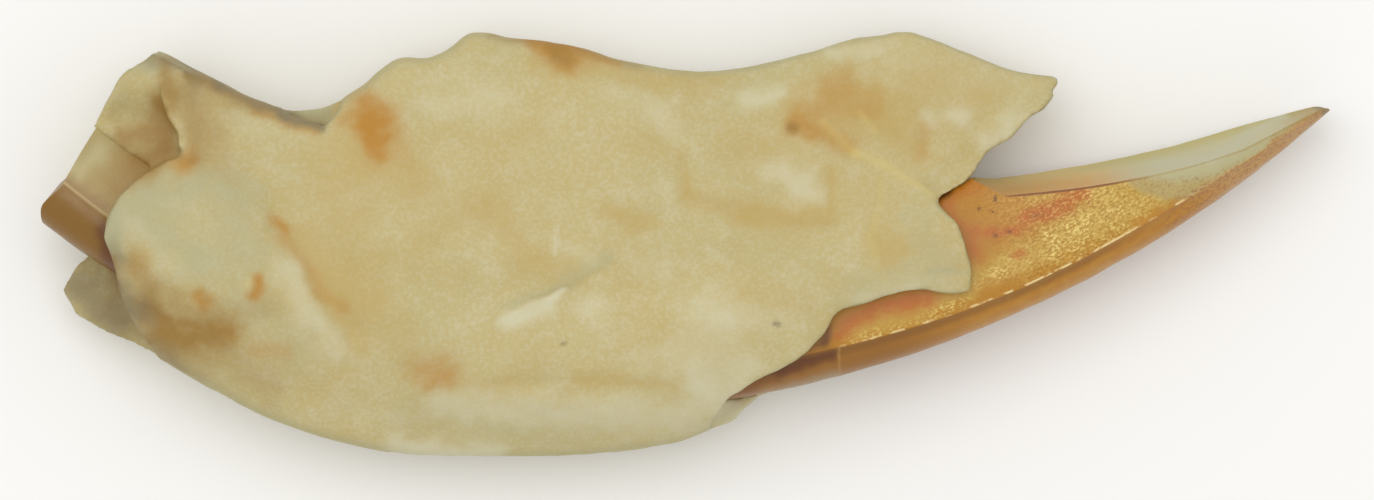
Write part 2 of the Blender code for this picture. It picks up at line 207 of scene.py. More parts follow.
REAR_LEDGE_HEIGHT = 6.0
LEDGE_RISE = (5.9, 8.3)
LEDGE_END = (-24.0, -25.0)
LEDGE_TOP = (REAR_LEDGE_HEIGHT - 0.6, REAR_LEDGE_HEIGHT - 0.1)
EDGE_DROP = 0.15
REAR_FLOOR_HEIGHT = 3.0
UPPER_NOTCH_HEIGHT = 3.7
INNER_WALL_TOP = 3.9
RIGHT_OF_ALL = [(30, -12.5), (30, 12.5)]
LEFT_OF_ALL = [(-36, -12.5), (-36, 12.5)]
UNDER_ALL = -3.0
OVER_ALL = 14.0
BREAK_STEP = 0.4
BREAK_LEVEL = 0.7
BREAK_WOBBLE = 0.16
BREAK_WOBBLE_SIZE = 1.3
BREAK_SHIFT = Vector((31.3, 17.7, 5.1))
# Bodies of missing bone overlap by this much, so that no film of bone is left between them.
OVERLAP = 0.01

# Bodies of missing bone: broken outline, straight outline, lowest and highest level.
MISSING_BONE = {
    "outer_front": (BLADE_BREAK + OUTER_FRONT_BREAK, RIGHT_OF_ALL, INNER_WALL_TOP, OVER_ALL),
    "inner_front": (BLADE_BREAK + INNER_FRONT_BREAK, RIGHT_OF_ALL, UNDER_ALL, INNER_WALL_TOP + OVERLAP),
    "rear": (REAR_BREAK, LEFT_OF_ALL, UNDER_ALL, OVER_ALL),
    "outer_rear": (OUTER_REAR_UPPER + OUTER_REAR_LOWER, LEFT_OF_ALL, REAR_LEDGE_HEIGHT, OVER_ALL),
    "upper_notch": (UPPER_NOTCH, [], UPPER_NOTCH_HEIGHT, OVER_ALL),
    "under_root": (
        TOOTH_SIDE + OUTER_REAR_LOWER, LEFT_OF_ALL[:1], REAR_FLOOR_HEIGHT, REAR_LEDGE_HEIGHT + OVERLAP,
    ),
}

# Relief of the outer face. The swelling over the root: centre, size along and across, turn in degrees.
SWELLING = ((-22.6, -1.6), (7.6, 4.4), -38.0)
SWELLING_HEIGHT = 0.55
# Hollows: points along each, half width, depth. One lies in front of the swelling, one over the crest.
HOLLOWS = [
    ((-20.3, 1.4), (-19.6, 0), (-18.5, -1.3), (-17.6, -3), (-16.4, -4.4), 0.7, 0.4),
    ((12.9, 2.9), (14.9, 4.3), 1, 1),
]

# Chance waves of the whole bone: height, size of a patch, layers and shift of the noise.
BONE_WAVES = [(0.1, 5, 2, 0), (0.05, 1.7, 2, 7.3), (0.02, 0.6, 1, 3.1)]

# How far the outlines of marks and borders sway. Marks and stains show where a face looks up, on the bone
# only above its inner side, and painted shade darkens the bone's edges where a face looks sideways.
MARK_SWAY = 0.4
MARK_SWAY_SIZE = 1.0
MARK_SWAY_SHIFTS = (11.0, 47.0)
BORDER_SWAY = 0.16
MARK_FACING = (0.1, 0.6)
BONE_STAIN_AND_LIGHT_FACING = (-0.2, 0.2)
BONE_STAIN_AND_LIGHT_HEIGHT = (2.0, 3.5)
TOOTH_STAIN_AND_LIGHT_FACING = (-0.1, 0.2)
EDGE_SHADE_FACING = (0.85, 0.25)

# Long marks that stand out or are sunk in: points along the mark, half width, height.
RELIEF_LINES = [
    ((-19.9, 0.6), (-19.3, -0.8), (-18.3, -3.3), (-17, -5.4), 0.45, 0.1),
    ((-16.2, 3), (-14.1, 1.2), (-12, -0.6), (-11.2, -2), (-10.6, -3.2), 0.5, 0.08),
    ((-9.3, -3.9), (-8, -3.2), (-6, -2.35), 0.28, 0.16),
    ((-8.8, -3.1), (-7.3, -2.4), (-6, -1.9), (-3.7, -0.6), 0.3, -0.14),
    ((-6.4, 0.9), (-6.5, -0.7), 0.16, 0.07),
    ((-0.1, 4.1), (0.1, 2.1), (1.7, 1.8), (4.3, 1.35), (7.1, 1.1), 0.35, -0.09),
    ((7.25, 3.8), (7.25, 1.3), 0.3, -0.06),
    ((6.8, 6), (8.4, 4.5), (10.3, 3.7), (11.7, 2.8), (12.2, 2.4), 0.26, 0.1),
    ((6.3, 5.5), (7.4, 4.6), (8.3, 4), 0.25, -0.08),
    ((9.8, 3.1), (9.15, 0.2), 0.2, 0.05),
    ((12, -1.4), (13.9, -1.4), 0.12, -0.06),
    ((1, 0), (1.6, -0.65), (2.3, -1.1), 0.3, 0.07),
    ((-8.4, -7.7), (-3.5, -8.2), (0.4, -8.7), 0.5, 0.1),
    ((-9.5, -7), (-5, -6.95), (-0.6, -7.3), 0.4, -0.08),
    ((-3.9, -2.9), (-3.4, -5.3), 0.3, 0.06),
    ((-26.6, -0.2), (-27.4, -2.4), (-26.2, -4.4), 0.5, -0.08),
]
# Round marks: centre, size along and across, turn in degrees, height.
RELIEF_SPOTS = [
    ((-24.75, 4.45), (0.45, 0.4), 0, -0.12),
    ((-21.2, -2.1), (0.28, 0.42), 20, -0.14),
    ((-21.75, -2), (0.3, 0.3), 0, 0.12),
    ((-24, -2.75), (0.35, 0.4), 0, -0.12),
    ((-24.9, -4.2), (2.2, 0.7), -22, -0.12),
    ((-15.6, 5.6), (1.2, 1.3), 0, -0.07),
    ((-12.5, -6.3), (1.3, 0.7), 0, -0.08),
    ((-6.1, 9.2), (0.9, 0.6), -15, -0.12),
    ((7.9, 7), (1.7, 1), 25, -0.08),
    ((5.15, 3.5), (1.7, 0.9), -10, 0.08),
    ((1.4, -3.4), (1.6, 0.9), 20, 0.07),
    ((-4.6, -3.2), (1, 0.9), 0, 0.08),
    ((11.85, 5.1), (0.4, 1), -8, -0.07),
    ((10.1, -0.1), (1.1, 1), 0, -0.07),
    ((4.5, -4), (0.16, 0.2), 0, -0.08),
    ((-6.05, -5), (0.14, 0.14), 0, -0.07),
    ((5.3, 5.75), (0.3, 0.26), 0, -0.16),
]

# Brown patch at the rear, which runs over bone and tooth alike and ends at the outer wall's broken edge:
# points along each stain, half width, strength.
REAR_STAINS = [
    ((-25.9, 6.9), (-26, 5.6), (-25.9, 4.6), (-26.8, 3.9), 0.85, 1),
    ((-26.9, 5.4), (-28, 5.2), 0.8, 0.75),
    ((-26.9, 3.8), (-28.4, 2.7), 0.75, 0.6),
    ((-28, 5), (-28.4, 4), 0.8, 0.2),
]
PATCH_END = [(3, -25.2), (4.8, -25.2), (5.5, -25.15), (6.3, -25.65), (7.4, -26.05), (9.7, -25.9)]
PATCH_SHARPNESS = 0.2

# Stains of the bone and marks of painted light, by colour: points along the mark, half width, strength.
BONE_STAINS_AND_PAINTED_LIGHT = {
    "ochre": [
        ((-7.4, 8.9), (-5.2, 8.6), (-3.2, 8.4), (1.4, 7.9), 0.75, 0.45),
        ((-15.8, 4.4), (-13.4, 3.2), 1.4, 0.55), ((-11.6, -7.3), (-10.2, -7.2), (-8.6, -6.9), 0.7, 0.5),
        ((-29.4, 6.4), (-26.9, 5.75), 0.15, 0.35),
        ((-19, 0.3), (-18.4, -1), (-17.2, -3.2), (-16.2, -5), 0.9, 0.45),
        ((5.4, 6.6), (8, 7.4), (10, 6.8), 1.6, 0.5), ((8.3, 6.2), (10.4, 6.2), 1.3, 0.5),
        ((14.6, 7.4), (15.7, 7.6), 0.8, 0.5), ((10.6, 5.2), (12, 4.4), 0.9, 0.4),
        ((14.2, 8.8), (12.4, 8.4), 0.7, 0.25), ((9.7, 0.3), (10.5, -0.4), 0.95, 0.6),
        ((9.6, -0.6), (9.9, -1.4), 0.5, 0.4), ((-0.15, 4.2), (0.1, 2.6), 0.4, 0.5),
        ((0.1, 2.4), (1.7, 1.9), (3.2, 1.7), 0.7, 0.5), ((3, 1.5), (4.4, 1.3), (6.9, 1.2), 0.6, 0.6),
        ((7.2, 3.6), (7.25, 1.6), 0.35, 0.45), ((-3.7, 1.5), (-2, 1), 0.7, 0.6),
        ((-5.4, -6.8), (-3, -6.9), (-0.6, -7.2), 0.5, 0.5),
        ((-9.5, 1.6), (-8, -0.6), (-5.5, -1.6), 0.9, 0.45), ((-10.5, 2), (-13, 0), 1.2, 0.4),
        ((-8.4, 5.3), (-7.4, 5.6), 0.8, 0.4), ((-2.4, 5), (-1, 4.8), 0.9, 0.35),
        ((3.2, -2.4), (5, -2.9), 1.1, 0.35), ((-17.7, 4.6), (-17, 1), (-17, -2), 2.2, 0.42),
        ((-15.4, -2.8), (-13.8, -5.2), 1.3, 0.4), ((3, 4.6), (9.6, 2.4), 2, 0.3),
        ((3.4, 0.8), (5.4, 0.3), 1.2, 0.28), ((11.6, 8.2), (14.4, 5.8), 1.6, 0.32),
        ((12, 0.2), (13.2, -1.4), 0.9, 0.4),
    ],
    "straw": [
        ((-21.65, -2.05), (-21.55, -1.95), 0.32, 0.75), ((6.8, 6), (8.4, 4.5), 0.24, 0.7),
        ((8.4, 4.5), (10.3, 3.7), (11.7, 2.8), (12.3, 2.4), 0.28, 0.55),
        ((8.6, 6.6), (9.4, 5.6), 0.2, 0.5), ((9.8, 3.1), (9.2, 0.2), (9.9, -2.2), 0.25, 0.3),
    ],
    "moss": [
        ((-6, -2), (-4.9, -1.2), (-3.9, -0.7), 0.5, 0.5), ((-8.6, -3), (-6.4, -2.2), 0.3, 0.5),
        ((-14, -8.6), (-8, -9.6), (0, -8.6), 1.4, 0.3),
        ((8.6, -2.6), (12.4, -1.4), (11.6, 0.8), 1.5, 0.45), ((12, -1.35), (13.9, -1.4), 0.12, 0.5),
        ((-28.5, 1.4), (-28.3, -0.6), 0.6, 0.9), ((-27.2, 1.5), (-25.4, 0.2), (-24.5, -0.9), 1.5, 0.6),
        ((-26.6, 2.6), (-24, 3), (-22, 2.4), 1.2, 0.6),
        ((-22.5, -1.2), (-21, -3.6), (-19.2, -5.2), 1.6, 0.35), ((-22.6, 0.6), (-21, -0.4), 1.3, 0.4),
        ((-27.2, 8.9), (-26.5, 8.7), 0.55, 0.7), ((-19.7, 6.9), (-18, 6.5), 0.5, 0.8),
    ],
    "chalk": [
        ((-8.5, -3.75), (-6.9, -3.15), 0.55, 0.8), ((-6.9, -2.95), (-6.1, -2.3), 0.2, 0.8),
        ((-9.2, -4), (-8.3, -3.7), 0.24, 0.6), ((-6.4, 0.9), (-6.5, -0.6), 0.12, 0.6),
        ((-6, -0.2), (-4.6, -0.7), 0.4, 0.35), ((-4.9, -3.3), (-4.3, -3.1), 0.8, 0.5),
        ((0.6, -3.1), (2.2, -3.5), 1, 0.5), ((0, -4.8), (2, -5.6), 1.2, 0.35),
        ((-2, -5.6), (1.4, -6.7), 1.1, 0.35), ((1.1, -0.2), (1.7, -0.7), (2.2, -1), 0.25, 0.4),
        ((2.2, -3.9), (4.6, -3.8), 0.9, 0.35), ((-2.4, -1), (-1, -1.6), 0.8, 0.35),
        ((4.2, 3.6), (6.2, 3.3), 0.75, 0.55), ((5.6, 2.7), (6.6, 2.3), 0.5, 0.45),
        ((3, 7.2), (4.6, 7.5), 0.6, 0.65), ((7.2, 9.5), (9.4, 9.7), 0.55, 0.5),
        ((11.9, 6.4), (12.2, 6.2), 0.45, 0.5), ((13.3, 6.4), (13.8, 6.3), 0.5, 0.6),
        ((-3.5, 7.4), (-0.8, 7), 0.6, 0.3), ((-12.6, 6.9), (-9.4, 7.2), 0.9, 0.4),
        ((-1.5, 6.2), (-0.6, 5.6), 0.8, 0.4), ((8.6, -3), (11.4, -2.2), 0.6, 0.4),
        ((3.4, -5.9), (2.4, -7.4), 0.7, 0.5), ((10.4, 9.4), (14, 8.2), (16.6, 7.6), 1.2, 0.25),
        ((-12, -8), (-8.4, -8.3), (-3.5, -8.5), (0.2, -8.6), 1.1, 0.55),
        ((-14.4, -10.2), (-11.8, -10.5), (-9.6, -10.5), 0.7, 0.75),
        ((0.8, -7.1), (1.8, -8.1), (2.4, -8.7), 0.75, 0.7), ((15, 5), (16.4, 6.2), 0.6, 0.6),
        ((-22.5, 6.4), (-21.3, 5.5), 0.55, 0.35), ((-27.4, 0.9), (-26.2, -0.4), (-25, -1.6), 0.7, 0.3),
        # The first chalk mark on the next line is a painted highlight along the ridge in front of the
        # swelling.
        ((-19.6, -1.2), (-18.6, -3.4), (-17.2, -5.4), 0.9, 0.5), ((1.9, -8.9), (3.4, -8), 0.8, 0.35),
    ],
    "tan": [((-28.7, -3.2), (-27.6, -4.4), 0.8, 0.6)] + REAR_STAINS,
    "rust_and_painted_shade": [
        ((-16, 6.3), (-15.2, 5.7), 1.05, 1), ((-15.5, 5), (-15.3, 4.4), 0.6, 0.65),
        ((-14.3, 5.6), (-13.9, 4.2), 0.8, 0.2), ((-16.4, 7.6), (-15.4, 7), 0.7, 0.3),
        ((-7.6, 9.9), (-5.4, 9.5), 0.5, 0.75), ((-6.2, 8.9), (-5.9, 8.7), 0.45, 0.6),
        ((-6.8, 9.5), (-4.6, 9.1), 0.9, 0.35),
        ((-8.4, 10.3), (-6.5, 9.9), (-4.6, 9.4), (-3.4, 9), 0.32, 0.5),
        ((-13.3, -6.2), (-11.8, -6.1), 0.9, 0.5), ((-12.6, -6.9), (-11.9, -6.8), 0.5, 0.45),
        ((-23.2, -4.3), (-22.6, -4.5), 0.5, 0.6), ((-24.1, -2.65), (-23.9, -3), 0.5, 0.8),
        # The next rust mark is painted shadow beside the small raised bump.
        ((-21.4, -2.6), (-21.1, -2.3), (-21.15, -1.8), 0.4, 0.8),
        ((-21.4, -5.2), (-19.8, -5.3), 0.7, 0.4), ((-27.4, -1.4), (-26.9, -0.9), 0.55, 0.4),
        ((-25.1, 3.9), (-24.5, 4.2), 0.6, 0.7),
        ((-20.1, 0.9), (-19.6, -0.1), (-18.6, -1.3), (-17.95, -2.5), (-16.95, -3.2), 0.48, 0.42),
        ((-20.4, 1.1), (-19.9, 0.8), 0.45, 0.5), ((6.6, 6.7), (7.9, 7.3), (8.8, 6.9), 1.15, 0.42),
        ((6.8, 7.8), (7.8, 8.5), 0.8, 0.3), ((5.6, 6.2), (6.6, 5.5), (8.2, 4.9), 0.6, 0.5),
        ((5.3, 5.75), (6.2, 5.5), 0.5, 0.4), ((11.95, 5.8), (11.7, 4.4), 0.55, 0.36),
        ((-21.6, 6.6), (-20, 6), (-18.4, 5.6), 0.3, 0.5),
    ],
    "umber_and_painted_shade": [
        ((-6.5, 9.4), (-6, 9.1), 0.5, 0.6),
        ((-9.6, 10.5), (-7.6, 10.2), (-4, 9.6), (-2.4, 9.1), 0.5, 0.5),
        ((-26.8, -3.2), (-25.9, -4.3), (-24.4, -4.4), (-23.2, -4.4), 0.95, 0.88),
        ((-26.3, -4.8), (-25, -5.2), 0.7, 0.6), ((-27.3, -1.1), (-26.6, -2), (-25.3, -2.8), 0.85, 0.5),
        ((-25.8, 8.9), (-25.7, 6.8), 0.6, 0.65), ((-25.4, -5.5), (-22.6, -6.1), (-21, -7.1), 1.4, 0.42),
        ((-23.8, -3.3), (-22.4, -3.5), (-20.6, -3.1), 1, 0.34),
        ((-24.9, 7.4), (-24.4, 5.9), (-24.3, 4.4), 0.9, 0.5), ((-23.4, 5.6), (-22.8, 4), 1.2, 0.36),
        ((-23.8, 7.2), (-22.6, 6.8), 0.7, 0.3), ((5.3, 5.75), (5.4, 5.7), 0.32, 0.75),
        # The last umber mark on the next line is painted shade in the hollow beside the root end of the
        # enamel.
        ((-24.6, 8.4), (-22.6, 7.4), (-20.6, 6.55), 0.42, 0.65), ((-28.6, -0.9), (-28.4, -2.4), 0.42, 1),
    ],
    "slate": [
        ((-28.3, -0.2), (-28, -0.8), 0.6, 0.4), ((-28.3, -1.9), (-27.7, -2.7), (-27, -3.2), 0.6, 0.42),
        ((4.4, -3.95), (4.6, -4.05), 0.16, 0.8), ((-6.1, -5), (-6, -5), 0.14, 0.7),
        # The slate marks from here to the upper notch darken the band along the broken upper edge.
        ((-27.8, 8.3), (-26.8, 8.9), 0.5, 0.2), ((-26.7, 9.2), (-24.9, 8.9), 0.5, 0.5),
        ((-24.9, 9), (-23, 8), 0.5, 0.5), ((-23, 8.1), (-21, 7), (-19.8, 6.5), 0.6, 0.6),
        ((-20.2, 6.4), (-18.1, 5.8), 0.32, 0.8), ((-30.6, -2), (-28.7, -3.6), 1.7, 0.85),
        ((-28.4, -4.2), (-27, -5), (-25.8, -5.8), 0.8, 0.3), ((-25.8, -5.8), (-24, -6.9), 0.7, 0.25),
    ],
}

# Marks of the tooth's outer side, by colour, written in the same way: stains, painted shade and painted
# glints.
TOOTH_STAINS_AND_PAINTED_LIGHT = {
    "gold": [
        ((16.4, -0.8), (17.8, -0.2), (19.8, 1), (22.6, 1.6), 1, 0.85),
        ((17.4, 2.25), (19.6, 2.4), 0.6, 0.5), ((20.4, 2.5), (22.6, 2.5), (23.8, 2.5), 0.9, 0.9),
        ((8.4, -4.5), (11, -3.6), (14, -2.4), 0.55, 0.6), ((14.2, -1.7), (15.6, -1.1), 0.7, 0.7),
    ],
    # Painted glints: where the dentine's crackle gets bright specks that stand for caught light.
    "painted_glint": [
        ((18.3, 0.3), (20.4, 0.9), (22.3, 1.5), 0.8, 1),
        ((15.8, -1.3), (17.6, -0.5), (19.4, 0.3), 0.55, 0.85),
        ((8.2, -5), (11, -4), (14.2, -2.8), 0.38, 0.65), ((14.2, -1.9), (15.6, -1.2), 0.6, 0.4),
        ((20.2, 2.4), (21.6, 2.5), 0.4, 0.6), ((23.2, 1.6), (25.6, 2.9), 0.35, 0.5),
    ],
    "amber": [((22.5, 0.95), (24.3, 1.7), 0.42, 0.9)],
    "rust_and_painted_shade": [
        ((18.7, 2.15), (19.8, 2.5), 0.5, 1), ((16.9, 1.3), (18.7, 1.8), 0.45, 1),
        # The notch mark at the end of the next line and the two lines after it are painted shade along the
        # bone's broken edge.
        ((16.4, -0.6), (16.7, -0.4), 0.3, 0.7), ((12.8, 2.1), (13.6, 2.7), (14.6, 3.1), 0.55, 0.5),
        ((13.1, 1.8), (13.7, 1), (14.2, 0), (14.45, -0.9), 0.26, 0.45),
        ((12.6, -2.7), (11.2, -2.7), (9.2, -3.2), (7.7, -4), 0.28, 0.45),
        ((15, 0.6), (16.5, 0.6), 0.2, 0.9), ((7.6, -4.6), (9.4, -3.4), (12, -2.9), 0.5, 0.7),
        ((14.3, 0.6), (14.5, -0.6), 0.5, 0.4), ((14.2, 0.7), (15.6, 0.5), (17, 0.8), 0.4, 0.4),
        ((-29, 2.6), (-28.5, 1.6), 0.4, 0.6), ((24.6, 2.35), (25.7, 2.75), (26.4, 2.9), 0.12, 0.7),
    ],
    "tan": REAR_STAINS,
    # Painted shade: under the bone's overhanging edge, in the notch, and along the lower edge of the root
    # end.
    "shade": [
        ((12.3, 2.25), (13, 2.6), 0.28, 0.9), ((1.6, -7.6), (3, -7.1), (4.6, -6.2), 0.6, 0.5),
        ((4.7, -6.4), (6, -5.9), (7.3, -5.6), 0.34, 0.9), ((5.7, -5.2), (6.9, -4.85), 0.34, 0.55),
        ((6.9, -4.9), (7, -4.1), 0.3, 0.6), ((-29.1, 0.8), (-28.85, -0.2), (-28.6, -1.3), 0.4, 0.8),
        ((-31, -0.6), (-29.4, -1.4), 0.45, 0.55),
    ],
    "ash": [
        ((3, -7.9), (6, -6.95), (7.4, -6.6), 0.35, 0.8), ((-30.9, 3), (-29, 1.7), 0.6, 0.9),
    ],
    "chalk": [
        ((-30.2, 3.7), (-29.2, 4.6), 0.6, 0.9), ((-29.4, 5.6), (-28.6, 5.2), 0.8, 0.6),
    ],
    "mist": [((23.6, 3.9), (25.9, 4.2), (27.2, 4.75), (28.8, 5.8), (30, 6.4), 0.32, 0.8)],
    "line": [((7.62, -5.2), (7.66, -6.5), 0.07, 0.6)],
    "pit": [
        ((17.3, 1.3), (17.6, 1.45), 0.16, 0.4), ((15.4, 2.35), (15.4, 2.15), 0.08, 1),
        ((14.55, 1.75), (14.6, 1.8), 0.08, 0.9), ((15.25, 1.6), (15.3, 1.6), 0.07, 0.9),
        ((15.3, 0.45), (15.45, 0.42), 0.09, 0.8), ((16, 0.6), (16.2, 0.55), 0.09, 0.7),
    ],
}

# Where the pale, worn part of the tip starts on the tooth's side, where its brown edging does, and how each
# fades in across that line and along the tooth.
PALE_TIP = [
    (18, 6), (21.5, 4.3), (22.4, 3.7), (23.3, 3.3), (24.2, 3.1), (25.7, 3.35), (27.2, 3.8), (28.7, 4.75),
    (30.2, 5.9), (31.2, 6.6), (32.3, 7.1),
]
BROWN_EDGING = [
    (22, 1.2), (24.2, 2.2), (25.7, 2.95), (27.2, 3.6), (28.7, 4.65), (30.2, 5.8), (31.2, 6.45),
    (32.3, 6.9),
]
PALE_TIP_FADES = ((-1.5, 0.5), (18.0, 20.5))
BROWN_EDGING_FADES = ((0.3, -0.35), (22.5, 25.5))


def linear(hex_colour):
    """Linear colour of an sRGB hex value."""
    parts = [int(hex_colour[i:i + 2], 16) / 255 for i in (1, 3, 5)]
    return tuple(c / 12.92 if c <= 0.04045 else ((c + 0.055) / 1.055) ** 2.4 for c in parts) + (1.0,)


def smooth_through(points, x):
    """Height at x of a smooth curve through points that run along X."""
    xs = np.array([p[0] for p in points])
    ys = np.array([p[1] for p in points])
    slopes = np.gradient(ys, xs)
    i = np.clip(np.searchsorted(xs, x) - 1, 0, len(xs) - 2)
    run = xs[i + 1] - xs[i]
    t = np.clip((x - xs[i]) / run, 0.0, 1.0)
    ends = ys[i] * (2 * t**3 - 3 * t**2 + 1) + ys[i + 1] * (3 * t**2 - 2 * t**3)
    return ends + run * (slopes[i] * (t**3 - 2 * t**2 + t) + slopes[i + 1] * (t**3 - t**2))


def ease(low, high, value):
    """Rises smoothly from 0 at low to 1 at high."""
    t = np.clip((value - low) / (high - low), 0.0, 1.0)
    return t * t * (3 - 2 * t)


def soft_max(a, b, blend):
    return 0.5 * (a + b + np.sqrt((a - b) ** 2 + blend**2))


def distance_to_line(x, y, points):
    """Distance of many places from a line through a few points."""
    nearest = np.full(np.shape(x), np.inf)
    for a, b in zip(points, points[1:]):
        run = (b[0] - a[0], b[1] - a[1])
        share = ((x - a[0]) * run[0] + (y - a[1]) * run[1]) / (run[0] ** 2 + run[1] ** 2)
        share = np.clip(share, 0.0, 1.0)
        nearest = np.minimum(nearest, np.hypot(x - a[0] - share * run[0], y - a[1] - share * run[1]))
    return nearest


def clouds(places, size, layers, shift=0.0):
    """Smooth chance variation from about -1 to 1 at many places, with patches of a size."""
    scaled = places / size + shift
    return np.array([noise.fractal(Vector(p), 1.0, 2.0, layers) for p in scaled])


def near_mark(places, sway, points, width):
    """1 along the middle of a mark, fading to its sides, with an outline that sways more on a wider mark."""
    x = places[:, 0] + MARK_SWAY * width * sway[0]
    y = places[:, 1] + MARK_SWAY * width * sway[1]
    return np.exp(-((distance_to_line(x, y, points) / width) ** 2))


def sway_of(places):
    return [clouds(places, MARK_SWAY_SIZE, 3, shift) for shift in MARK_SWAY_SHIFTS]


def arc_at(deg):
    """Centre and radius of the arc that the tooth's lower edge follows at each angle."""
    x, y = REAR_CENTRE
    turn = math.radians(JOIN_DEG)
    spare = np.where(deg <= JOIN_DEG, 0.0, REAR_RADIUS - FRONT_RADIUS)
    return x + spare * math.sin(turn), y - spare * math.cos(turn), REAR_RADIUS - spare


def along_share(deg):
    return (deg - ROOT_DEG) / (FACET_START_DEG - ROOT_DEG)


def tooth_depth(deg):
    return ROOT_DEPTH + (FRONT_DEPTH - ROOT_DEPTH) * np.clip(along_share(deg), 0.0, 1.0)


def tooth_middle(deg):
    drop = TIP_DROP * (np.maximum(deg - JOIN_DEG, 0.0) / (TIP_DEG - JOIN_DEG)) ** 2
    return ROOT_MIDDLE + (FRONT_MIDDLE - ROOT_MIDDLE) * along_share(deg) - drop


def tooth_width(deg):
    share = np.maximum(deg - FACET_START_DEG, 0.0) / (TIP_DEG - FACET_START_DEG)
    return TOOTH_WIDTH * (1.0 - TIP_NARROWING * share**2)


def facet_depth(deg):
    """Depth of tooth left under the worn facet, at its inner side."""
    unworn = FRONT_DEPTH + FACET_START_DEG - deg
    return np.where(deg < FACET_START_DEG, unworn, smooth_through(FACET_LEFT, deg))


def facet_begun(deg):
    return ease(FACET_TILT_START_DEG, FACET_TILT_START_DEG + FACET_TILT_RUN_DEG, deg)


def section_point(deg, turn, grow):
    """Depth and sideways reach of the unworn cross-section: widest over the enamel, narrower above it."""
    share = (1 - np.cos(turn)) / 2
    half = (tooth_width(deg) / 2 + grow) * (1 - UPPER_NARROWING * share)
    side = np.sign(np.sin(turn)) * np.abs(np.sin(turn)) ** SECTION_ROUNDING * half
    return -grow + (tooth_depth(deg) + 2 * grow) * share, side


def facet_meeting(deg, sign):
    """Where the side of the tooth meets the worn facet, as a turn from the middle of the enamel."""
    facet = facet_depth(deg)
    tilt = np.minimum(FACET_TILT, FACET_TILT_SHARE * facet) * facet_begun(deg)
    low = np.zeros_like(deg)
    high = np.full_like(deg, math.pi - CREST_TURN)
    for _ in range(HALVINGS):
        middle = (low + high) / 2
        inward, side = section_point(deg, sign * middle, 0.0)
        under = inward < facet - tilt * (2 * side / tooth_width(deg) + 1) / 2
        low = np.where(under, middle, low)
        high = np.where(under, high, middle)
    return sign * low


def tooth_section(deg, grow=0.0):
    """Depth and sideways reach of points round the tooth at each angle, the crest or worn facet last."""
    deg = np.asarray(deg, float)[:, None]
    if grow:
        outer = np.full_like(deg, math.pi - CREST_TURN)
        inner = -outer
    else:
        outer = facet_meeting(deg, 1)
        inner = facet_meeting(deg, -1)
    turns = inner + (outer - inner) * np.linspace(0, 1, SIDE_POINTS)
    inward, side = section_point(deg, turns, grow)
    deepest = np.minimum(FACET_HOLLOW, FACET_HOLLOW_SHARE * facet_depth(deg)) * (grow == 0)
    hollow = 4 * CREST_SHARES * (1 - CREST_SHARES) * deepest * facet_begun(deg)
    crest = inward[:, -1:] + (inward[:, :1] - inward[:, -1:]) * CREST_SHARES - hollow
    crest_side = side[:, -1:] + (side[:, :1] - side[:, -1:]) * CREST_SHARES
    return np.hstack([inward, crest]), np.hstack([side, crest_side])


def tooth_places(deg, inward, side):
    """Places in the object of points given by angle, depth and sideways reach."""
    deg = np.asarray(deg, float)[:, None]
    x, y, radius = arc_at(deg)
    turn = np.radians(deg)
    reach = radius - inward
    middle = tooth_middle(deg) + np.zeros_like(inward)
    return np.stack([x + reach * np.sin(turn), y - reach * np.cos(turn), middle + side], axis=-1)


def depth_in_tooth(x, y):
    """How far places lie inside the tooth's lower edge, and the angle that they lie at."""
    rear_turn = np.degrees(np.arctan2(x - REAR_CENTRE[0], REAR_CENTRE[1] - y))
    cx, cy, radius = arc_at(rear_turn)
    turn = np.degrees(np.arctan2(x - cx, cy - y))
    return radius - np.hypot(x - cx, y - cy), turn


def lower_edge(x):
    """Lower edge of the bone, which follows the tooth past the front break."""
    if x <= LOWER_EDGE[-1][0]:
        return float(smooth_through(LOWER_EDGE, x))
    cx, cy, radius = arc_at(TIP_DEG)
    return float(cy - math.sqrt((radius + LOWER_LIP) ** 2 - (x - cx) ** 2))


def off_centre(x, y, centre, size, turn_deg):
    """Square of how far places lie from the centre of a turned oval, 1 at its rim."""
    turn = math.radians(turn_deg)
    dx, dy = x - centre[0], y - centre[1]
    along = (dx * math.cos(turn) + dy * math.sin(turn)) / size[0]
    across = (dy * math.cos(turn) - dx * math.sin(turn)) / size[1]
    return along**2 + across**2


def bone_faces(x, y):
    """Heights of the bone's inner and outer face over places of the XY plane."""
    inward, deg = depth_in_tooth(x, y)
    off_middle = (inward - tooth_depth(deg) / 2) / SOCKET_REACH
    round_share = np.maximum(0.0, 1 - off_middle**2) ** np.where(off_middle > 0, UPPER_FALL, LOWER_FALL)
    middle = tooth_middle(np.minimum(deg, FACET_START_DEG))
    half = TOOTH_WIDTH / 2 + WALL_GAP
    over_socket = middle + (half + smooth_through(OUTER_WALL, x)) * round_share
    under_socket = middle - (half + INNER_WALL) * round_share
    outer = soft_max(over_socket, smooth_through(OUTER_PLATE, x), FACE_BLEND)
    inner = -soft_max(-under_socket, -smooth_through(INNER_PLATE, x), FACE_BLEND)
    for *line, width, depth in HOLLOWS:
        outer = outer - depth * np.exp(-((distance_to_line(x, y, line) / width) ** 2))
    return inner, outer + SWELLING_HEIGHT * np.exp(-(off_centre(x, y, *SWELLING) ** 2))


